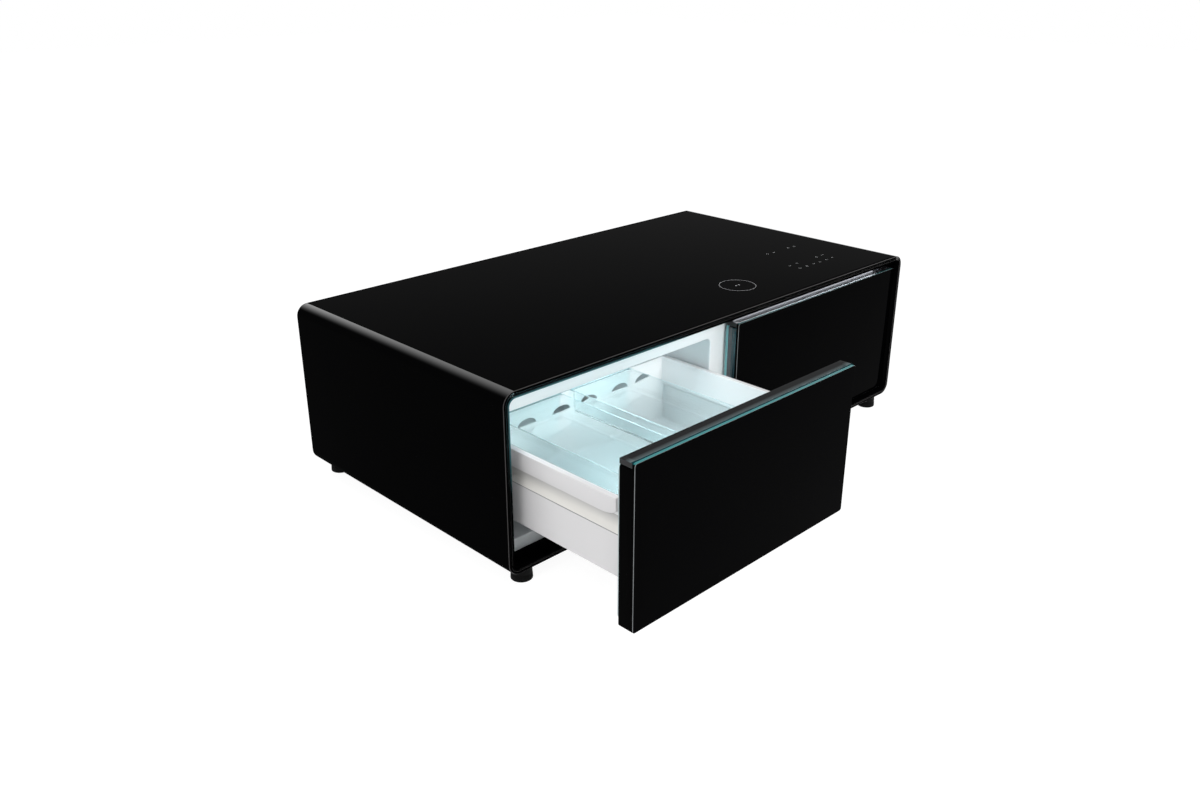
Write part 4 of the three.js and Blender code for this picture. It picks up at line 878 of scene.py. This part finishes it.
def front_core(side, s, body):
    """The core, with three stripes down its end towards the table's middle: painted dark teal light, a mirror
    with a faint painted teal tint, and painted pale teal light.
    """
    low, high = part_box(side + "_front_core")
    dark_y, strip_y = low[1] + CORE_DARK, high[1] - CORE_STRIP
    core = slab(side + "_core", low, high, CORE_NEAR, CORE_FAR, core_black, body,
                cuts=(CORE_DARK, high[1] - low[1] - CORE_STRIP), replaces=side + "_front_core",
                slot="front_core_black")
    paint(core, core_mirror, lambda face: face.normal.x * s < -SQUARE_ON and face.center.y > dark_y)
    paint(core, core_painted_teal_light, lambda face: face.normal.x * s < -SQUARE_ON and face.center.y < dark_y)
    paint(core, strip_painted_teal_light, lambda face: face.normal.x * s < -STRIP_TURN and face.center.y > strip_y)


print("front radius in mm:", round(FRONT_RADIUS / mm, 1))

# %% [markdown]
# The grip strip is an extrusion along X: its section is carried along the front, and near the two ends the
# trough runs out, so that they close flat. The open front's strip has painted light and shade: it is darkest
# at the back and takes up the cool light towards the glass, up to a painted dark shade line where the two
# meet.

# %% Grip strips, and both fronts put together
GRIP_FLAT, GRIP_HOLLOW = 1.5 * mm, 2.5 * mm
# Shares of the way across from the front, and the share of the trough's depth at each.
TROUGH_SHARES = ((0, 0.02, 0.32, 0.36, 0.60, 0.98, 1), (0, 0.03, 0.97, 1, 0.85, 0.02, 0))
# From each end: the distance, the share of the section's size and the trough's depth.
GRIP_ENDS = ((0.0, 0.94, 0.0), (0.5 * mm, 1.0, 0.0), (10 * mm, 1.0, 0.0), (14 * mm, 1.0, GRIP_HOLLOW))
GRIP_LIP = 3.4 * mm
GRIP_EDGE, GRIP_EDGE_ANGLE = 0.4 * mm, math.radians(40)
# Where the painted cool light on the open strip begins and where it is full, and its colour.
LIT_FROM, LIT_TO, LIT_COLOUR = 17 * mm, 4 * mm, (0.075, 0.10, 0.105)


def grip_section(low, high, hollow):
    """Outline of the grip strip in Y and Z: flat under, upright before and behind. Its top is a trough
    between two narrow flats: high minus hollow * depth share, with the share read off between the points of
    the table."""
    y0, z0, y1, z1 = low[1], low[2], high[1], high[2]
    share = np.linspace(0, 1, 25)
    trough_y = y0 + GRIP_FLAT + (y1 - y0 - 2 * GRIP_FLAT) * share
    trough_z = z1 - hollow * np.interp(share, *TROUGH_SHARES)
    trough = np.stack([trough_y, trough_z], axis=1)
    return np.vstack([[[y1, z0], [y0, z0], [y0, z1]], trough, [[y1, z1]]])


def grip(side, s, body):
    """The strip, skinned along X, with its edges rounded by a bevel."""
    low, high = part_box(side + "_grip_strip")
    stations = [(low[0] + a, share, hollow) for a, share, hollow in GRIP_ENDS]
    stations += [(high[0] - a, share, hollow) for a, share, hollow in GRIP_ENDS[::-1]]
    rings = [scaled_ring(grip_section(low, high, hollow), share, x) for x, share, hollow in stations]
    strip = skin(side + "_grip", rings, grip_lit if s < 0 else grip_metal, body,
                 replaces=side + "_grip_strip", slot="grip_satin_grey")
    if s < 0:
        # Painted light and shade on the open front's strip, and a painted shade line along its lip.
        blend_along(grip_lit, [("Y", low[1] + LIT_FROM, low[1] + LIT_TO)], LIT_COLOUR)
        paint(strip, lip_painted_shade, lambda face: face.center.y < low[1] + GRIP_LIP)
    paint(strip, texture_black, lambda face: abs(face.normal.x) > SQUARE_ON)
    bevel = strip.modifiers.new("edge", "BEVEL")
    bevel.width = GRIP_EDGE
    bevel.segments = 2
    bevel.limit_method = "ANGLE"
    bevel.angle_limit = GRIP_EDGE_ANGLE
    flat = strip.modifiers.new("flat", "WEIGHTED_NORMAL")
    flat.keep_sharp = True


for side, s in SIDES.items():
    body = side + "_drawer"
    glass_panel(side, s, body)
    front_core(side, s, body)
    grip(side, s, body)
    print(side, "front made")

# %% [markdown]
# ## Seals
#
# The magnetic seal is a soft extrusion bent round the back of the front: a flat foot, a bellows and a round
# nose. A curve with a bevel profile could carry the section round, but it would pinch in the tight corners.
# Rings keep each point of the wavy section at its own distance from the edge all the way round.

# %% Seals
SEAL_WIDE, SEAL_WAVE, SEAL_CORNER = 10.5 * mm, 1.1 * mm, 0.6 * mm


def seal(side):
    """Each side of the section waves in twice: wave * sin(2 pi share) ** 2, with share running from the front
    to the back of the seal."""
    low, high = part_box(side + "_gasket")
    share = np.linspace(0, 1, 13)
    wave = SEAL_WAVE * np.sin(share * math.pi * 2) ** 2
    outer = np.stack([wave, low[1] + (high[1] - low[1]) * share], axis=1)
    inner = np.stack([SEAL_WIDE - outer[::-1, 0], outer[::-1, 1]], axis=1)
    rings = [box_ring(low, high, "y", y, inset, max(SEAL_WIDE - inset, SEAL_CORNER), steps=5)
             for inset, y in np.vstack([outer, inner])]
    return skin(side + "_seal", rings, seal_grey_painted_teal, side + "_drawer", closed=True, replaces=side + "_gasket",
                slot="gasket_grey")


for side in SIDES:
    print(side, "seal faces:", len(seal(side).data.polygons))

# %% [markdown]
# ## Drawer boxes
#
# The box is one deep white moulding. Outside it steps in above the lower wall, and a rounded band runs along
# each side at the rim. Inside, its floor curves up into the walls. Sculpted from a cube it would take a dozen
# bevels, each with its own corners to mend. A stack of rings climbs the outside and comes down the inside,
# and each level is one line of code.

# %% Box shell
WALL, RIM_IN, LOW_IN = 3 * mm, 9 * mm, 2 * mm
BAND_H, RECESS_H = 36 * mm, 32 * mm
BOTTOM_ROUND, FLOOR_ROUND, RIM_ROUND = 5 * mm, 8 * mm, 1 * mm
LEDGE_LIP = 0.5 * mm
# The groove under the ledge: how far each ring is drawn in, and how far it lies below the ledge.
GROOVE = ((0.0, 1.5 * mm), (1.4 * mm, 1.4 * mm), (1.4 * mm, 0.5 * mm), (LEDGE_LIP, 0.0))
COVE_POWER, FLOOR_TIGHTER_SHARE = 3.5, 0.5
CORNER = {"bottom": 2.5 * mm, "outside": 2 * mm, "rim": 3 * mm, "under_rim": 4 * mm, "inside": 5 * mm}


def box_shell(side):
    """Rings of the box: each level gives how far the side walls and the end walls are drawn in, and the
    corners' radius. The bottom edge is a quarter circle outside and a larger one inside. Above the ledge the
    recess is a cove: rim inset - (rim inset - ledge inset) * (1 - share) ** 3.5, with share from 0 at the
    ledge to 1 at the band."""
    low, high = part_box(side + "_drawer_box")
    top, bottom = high[2], low[2]
    ledge = top - BAND_H - RECESS_H
    rings = []

    def ring(side_in, end_in, z, radius):
        rings.append(box_ring(low, high, "z", z, (side_in, end_in), radius, steps=6))

    for inset, rise in easing(BOTTOM_ROUND, 5):
        ring(LOW_IN + inset, inset, bottom + rise, CORNER["bottom"])
    for inset, drop in GROOVE:
        ring(LOW_IN + inset, 0, ledge - drop, CORNER["outside"])
    cove = RIM_IN - LOW_IN - LEDGE_LIP
    for share in np.linspace(0, 1, 10)[1:]:
        ring(RIM_IN - cove * (1 - share) ** COVE_POWER, 0, ledge + RECESS_H * share, CORNER["outside"])
    ring(RIM_IN, 0, top - RIM_ROUND, CORNER["outside"])
    for inset, rise in easing(RIM_ROUND, 3)[1:]:
        ring(RIM_IN + rise, rise, top - inset, CORNER["outside"])
    for inset, rise in easing(RIM_ROUND, 3):
        ring(RIM_IN + WALL - inset, WALL - inset, top - rise, CORNER["rim"])
    ring(RIM_IN + WALL, WALL, ledge - WALL, CORNER["under_rim"])
    ring(LOW_IN + WALL, WALL, ledge - 3 * WALL, CORNER["inside"])
    for inset, rise in easing(FLOOR_ROUND, 5):
        corner = FLOOR_ROUND - rise * FLOOR_TIGHTER_SHARE
        ring(LOW_IN + WALL + rise, WALL + rise, bottom + WALL + inset, corner)
    return skin(side + "_box", rings, box_white, side + "_drawer", replaces=side + "_drawer_box",
                slot="box_white")


print("recess and rim band heights in mm:", round(RECESS_H / mm), round(BAND_H / mm))

# %% [markdown]
# The vents in the back wall are half ellipses, cut right through. They could be dark shapes laid on the wall,
# but real holes show the wall's thickness and what lies behind.

# %% Vents
VENT_HALF_WIDE, VENT_TALL, VENT_DROP = 25 * mm, 14 * mm, 41 * mm
VENT_PLACES = (39 * mm, 133 * mm, 206 * mm)
VENT_IN, VENT_OUT = 6 * mm, 3 * mm


def vent_cutters(side):
    """Each vent is (half width * cos t, height * sin t) for t from 0 to a half turn. Vents lie in pairs, on
    both sides of the box's middle."""
    low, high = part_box(side + "_drawer_box")
    middle = (low[0] + high[0]) / 2
    floor_z = high[2] - VENT_DROP
    t = np.linspace(0, math.pi, 25)
    made = []
    for offset in VENT_PLACES:
        for x in (middle - offset, middle + offset):
            arch = np.stack([x + VENT_HALF_WIDE * np.cos(t), floor_z + VENT_TALL * np.sin(t)], axis=1)
            made.append(cutter([lift(arch, "y", y) for y in (high[1] - VENT_IN, high[1] + VENT_OUT)]))
    return made


print("vents in each box:", 2 * len(VENT_PLACES))

# %% [markdown]
# The rim band is a separate form on each side of the box. Behind the front it begins with a long low curve,
# so it is drawn as an outline in Y and Z and given its thickness across, with eased outer edges.

# %% Rim bands
BAND_START = 34 * mm
SWEEP_LONG, SWEEP_TALL = 41 * mm, 13 * mm
BAND_EASE, BAND_BEHIND = 1.6 * mm, 1 * mm
# Low back, high back, high front and low front. The sweep takes the place of the last.
BAND_CORNERS = (2 * mm, 1.5 * mm, 1.5 * mm, 1 * mm)


def band_outline(near, far, z0, z1, inset):
    """Outline of the rim band in Y and Z, drawn in by inset. Its lower front corner is a quarter ellipse:
    (near + long * (1 - cos t), low + tall * (1 - sin t)). The other three are round."""
    steps = 3
    long, tall = SWEEP_LONG - inset, SWEEP_TALL - inset
    t = np.linspace(0, math.pi / 2, 11)
    sweep = np.stack([near + inset + long * (1 - np.cos(t)), z0 + inset + tall * (1 - np.sin(t))], axis=1)
    rest = corner_ring(near + inset, far - inset, z0 + inset, z1 - inset, BAND_CORNERS, steps)
    return np.vstack([rest[:3 * (steps + 1)], sweep])


def rim_band(side, outward, low, high):
    """The band along one side, as a slab across X. Its outer edges are eased by a quarter circle."""
    x_out = low[0] if outward < 0 else high[0]
    z0, z1 = high[2] - BAND_H, high[2]
    depths = [(RIM_IN + BAND_BEHIND, 0.0)] + easing(BAND_EASE, 4)
    rings = [lift(band_outline(low[1] + BAND_START, high[1], z0, z1, inset), "x", x_out - outward * depth)
             for depth, inset in depths]
    name = side + ("_rim_band_low_x" if outward < 0 else "_rim_band_high_x")
    return skin(name, rings, box_side_shaded, side + "_drawer", slot="box_white")


print("rim band thickness in mm:", round((RIM_IN + BAND_BEHIND) / mm, 1))

# %% [markdown]
# Outside, the box is painted in zones of light and shade: the shaded lower wall, a painted shadow line in the
# groove under the ledge, and the recess above it. Light falls off towards the band, so the recess's painted
# warm cream blends into painted grey shade on the way up. The box has many rings, so the zones' borders fall
# between faces and need no mask.

# %% Boxes, vents, zones and bands together
GROOVE_LOW, GROOVE_HIGH = 1.6 * mm, 0.1 * mm
OUTSIDE = RIM_IN + 0.5 * mm
# Where the recess's painted shade begins above the ledge and where it is full, and its grey.
RECESS_SHADE_FROM, RECESS_SHADE_TO, RECESS_SHADE_COLOUR = 10 * mm, 6 * mm, (0.40, 0.40, 0.405)
BOX_CRISP_ANGLE = math.radians(40)
rim_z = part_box("left_drawer_box")[1][2]
recess_top = rim_z - BAND_H
ledge_z = recess_top - RECESS_H
blend_along(recess_painted_light_and_shade, [("Z", ledge_z + RECESS_SHADE_FROM, recess_top + RECESS_SHADE_TO)], RECESS_SHADE_COLOUR)


def outer_faces(low, high, z0, z1):
    """Chooses the faces near the box's two side faces whose middle lies between the heights z0 and z1."""
    return lambda face: (min(face.center.x - low[0], high[0] - face.center.x) < OUTSIDE
                         and z0 < face.center.z < z1)


for side in SIDES:
    box = carve(box_shell(side), vent_cutters(side))
    shade(box.data, BOX_CRISP_ANGLE)
    low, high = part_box(side + "_drawer_box")
    # Painted shade on the lower wall, a painted shadow line in the groove, and painted light and shade in the
    # recess.
    paint(box, box_side_shaded, outer_faces(low, high, 0.0, ledge_z))
    paint(box, groove_painted_shadow, outer_faces(low, high, ledge_z - GROOVE_LOW, ledge_z - GROOVE_HIGH))
    paint(box, recess_painted_light_and_shade, outer_faces(low, high, ledge_z, recess_top))
    for outward in (-1, 1):
        rim_band(side, outward, low, high)
    print(side, "box faces:", len(box.data.polygons))

# %% [markdown]
# ## Trays
#
# Each tray hangs by its two end lips on the box's front and back walls. The walls lean in a little towards
# the floor, as a moulding must to leave its mould, and every corner is round. Clear plastic needs a real
# thickness, since light bends at both of its faces, so the rings go up the outside and down the inside.

# %% Trays
TRAY_WALL, TRAY_LEAN, TRAY_ROUND = 2.5 * mm, 1.2 * mm, 5 * mm
TRAY_LIP, TRAY_FILLET, TRAY_EDGE, TRAY_INNER_EDGE = 2 * mm, 0.2 * mm, 0.6 * mm, 0.8 * mm
TRAY_CORNER, LIP_CORNER, INNER_CORNER = 10 * mm, 5 * mm, 8 * mm
FRONT_HANG, BACK_HANG = 4.7 * mm, 5.0 * mm
RIM_PAINT = 1 * mm


def tray(node):
    """Rings climb the outside from the floor, go out over the lips, and come down the inside. A ring with its
    ends drawn in stands clear of the box's walls, and one without them lies on the walls as a lip."""
    low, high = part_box(node)
    floor_z, top = low[2], high[2]
    under_lip, inner = top - TRAY_LIP, TRAY_WALL + TRAY_LEAN

    def body_ring(inset, z, radius):
        return lift(corner_ring(low[0] + inset, high[0] - inset, low[1] + FRONT_HANG + inset,
                                high[1] - BACK_HANG - inset, radius, steps=7), "z", z)

    def lip_ring(inset, z):
        return box_ring(low, high, "z", z, inset, LIP_CORNER, steps=7)

    rings = [body_ring(TRAY_LEAN + inset, floor_z + rise, TRAY_CORNER - inset)
             for inset, rise in easing(TRAY_ROUND, 5)]
    rings += [body_ring(TRAY_FILLET, under_lip - TRAY_FILLET, TRAY_CORNER)]
    rings += [lip_ring(0, under_lip), lip_ring(0, top - TRAY_EDGE), lip_ring(TRAY_EDGE, top)]
    rings += [body_ring(TRAY_WALL - TRAY_EDGE, top, INNER_CORNER)]
    rings += [body_ring(TRAY_WALL, top - TRAY_INNER_EDGE, INNER_CORNER)]
    rings += [body_ring(inner + rise, floor_z + TRAY_WALL + inset, TRAY_CORNER - TRAY_WALL - rise)
              for inset, rise in easing(TRAY_ROUND, 5)]
    clear = skin(node + "_clear", rings, tray_clear, node, replaces=node, slot="tray_clear")
    paint(clear, tray_rim, lambda face: face.normal.z > SQUARE_ON and face.center.z > top - RIM_PAINT)
    return clear


for side in SIDES:
    for which in ("_tray_a", "_tray_b"):
        print(side + which, "faces:", len(tray(side + which).data.polygons))

# %% [markdown]
# ## Feet
#
# A foot is a turned rubber pad: its outline, radius against height, is spun round its own axis. A Screw
# modifier would do the same. Here each point of the outline simply becomes a ring like all the others.

# %% Feet
FOOT_ROUND, FOOT_HOLLOW = 2 * mm, 0.2 * mm
# Above the rounded foot: how far the outline is drawn in, and its height.
FOOT_OUTLINE = ((0.6 * mm, 12 * mm), (1.4 * mm, 13 * mm), (1.4 * mm, 15 * mm), (0.8 * mm, 16 * mm),
                (2 * mm, 31 * mm), (2.6 * mm, 31.6 * mm))


def circle(points):
    """Points (cos t, sin t) over one full turn."""
    t = np.linspace(0, 2 * math.pi, points + 1)[:-1]
    return np.stack([np.cos(t), np.sin(t)], axis=1)


def foot(node):
    """Each point (drawn in, height) of the outline becomes a circle about the foot's axis."""
    low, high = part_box(node)
    middle = np.array([low[0] + high[0], low[1] + high[1]]) / 2
    radius = (high[0] - low[0]) / 2
    outline = [(FOOT_ROUND + FOOT_HOLLOW, low[2])]
    outline += [(inset, low[2] + rise) for inset, rise in easing(FOOT_ROUND, 4)]
    outline += FOOT_OUTLINE
    rings = [lift(middle + (radius - inset) * circle(48), "z", z) for inset, z in outline]
    return skin(node + "_pad", rings, foot_rubber, "cabinet", replaces=node, slot="foot_rubber")


for end in ("front", "back"):
    for side in SIDES:
        print(end, side, "foot faces:", len(foot("foot_" + end + "_" + side).data.polygons))

# %% [markdown]
# ## Printed marks on the glass
#
# The charging spot is a thin ring, and the touch controls are small pale marks: rings, bars and rounded
# squares. A picture on the glass could show them too, but flat shapes less than a tenth of a millimetre thick
# stay sharp at any distance, and their soft grey never looks like paint standing proud.

# %% Marks
print_grey = finish("print_grey", (0.30, 0.30, 0.31), (0.36, 0.36, 0.37), (0.4, 0.5), grain=1500, bump=0.0)
PRINT_LOW, PRINT_HIGH = 0.01 * mm, 0.09 * mm
# Places in millimetres: X from the table's middle, and Y from a line this far behind it.
MARKS_LINE = 150.5 * mm
RING_PLACE, RING_OUTER, RING_INNER = (149.0, -225.5), 42.4 * mm, 41.5 * mm
MARK_PLACES = ((412.6, -109.7), (435.6, -112.3), (497.7, -111), (521.8, -112.5), (365.3, -213.3),
               (396.4, -211.7), (477.5, -212.5), (504, -211.1), (367.2, -242), (393.5, -243.4),
               (422.3, -243.3), (447.4, -244.2), (474.6, -244.3), (503.2, -241.5))


def flat_shape(name, outer, inner=None):
    """A thin sheet under the outline. With an inner outline it is a flat band between the two."""
    z0, z1 = top_z + PRINT_LOW, top_z + PRINT_HIGH
    rings = [lift(outer, "z", z0), lift(outer, "z", z1)]
    if inner is not None:
        rings += [lift(inner, "z", z1), lift(inner, "z", z0)]
    return skin(name, rings, print_grey, "cabinet", closed=inner is not None, slot="top_glass_black")


def on_glass(place):
    """A place of the tables in the frame's own metres."""
    return np.array(place) * mm + [0, MARKS_LINE]


def rounded(centre, half_x, half_y, radius, steps=3):
    """A rectangle with round corners about centre."""
    return corner_ring(centre[0] - half_x, centre[0] + half_x, centre[1] - half_y, centre[1] + half_y, radius,
                       steps)


# Sizes of the marks: rings by their two radii, and bars and squares by their half sizes and corners.
DOT, BAR = (3.2 * mm, 2.5 * mm), (4.5 * mm, 0.6 * mm, 0.5 * mm)
SQUARE, SQUARE_HOLE = (2.6 * mm, 2.6 * mm, 1.2 * mm), (2.0 * mm, 2.0 * mm, 0.8 * mm)
RING_BAR, RING_BAR_SHIFT = (1.2 * mm, 3 * mm, 1.0 * mm), 5 * mm
ring_centre = on_glass(RING_PLACE)
flat_shape("charging_ring", ring_centre + circle(96) * RING_OUTER, ring_centre + circle(96) * RING_INNER)
# The three kinds take turns.
for i, place in enumerate(MARK_PLACES):
    centre = on_glass(place)
    name = "mark_%02d" % i
    if i % 3 == 0:
        flat_shape(name, centre + circle(16) * DOT[0], centre + circle(16) * DOT[1])
    elif i % 3 == 1:
        flat_shape(name, rounded(centre, *BAR, steps=2))
    else:
        flat_shape(name, rounded(centre, *SQUARE), rounded(centre, *SQUARE_HOLE))
for letter, way in (("a", -1), ("b", 1)):
    flat_shape("ring_mark_" + letter, rounded(ring_centre + [way * RING_BAR_SHIFT, 0], *RING_BAR))
print("marks:", len(MARK_PLACES))

# %% [markdown]
# ## Inside pieces that keep their CAD shape
#
# Runners, coils, pipes and the machine bay are already right in form, and most of them are hidden. They only
# need finishes, so each node's own material slots get one.

# %% Finishes for the kept nodes
KEPT = {
    "runner": zinc, "evaporator": aluminium, "pipe": copper, "charging_coil": coil_copper,
    "touch_board": board_green, "insulation": foam, "rear_screw": zinc, "rear_cover": texture_black,
    "compressor": enamel_black, "condenser": enamel_black, "cooling_fan": fan_black,
    "circulation_fan": fan_black, "control_box": control_grey, "drip_tray": texture_black,
    "power_inlet": texture_black, "duct_cover": duct_painted_shade,
}
painted = 0
for name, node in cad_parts.items():
    for key, look in KEPT.items():
        if key in name:
            painted += 1
            for place in node.material_slots:
                place.material = look
print("kept nodes painted:", painted)

# %% [markdown]
# ## The dressed table's size
#
# The dressed table has to be exactly as big as the CAD model. The viewport would show only a gross error, so
# its size is printed in numbers.

# %% Finish: print the dressed table's size
low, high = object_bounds()
print("table size in metres:", [round(float(b - a), 3) for a, b in zip(low, high)])
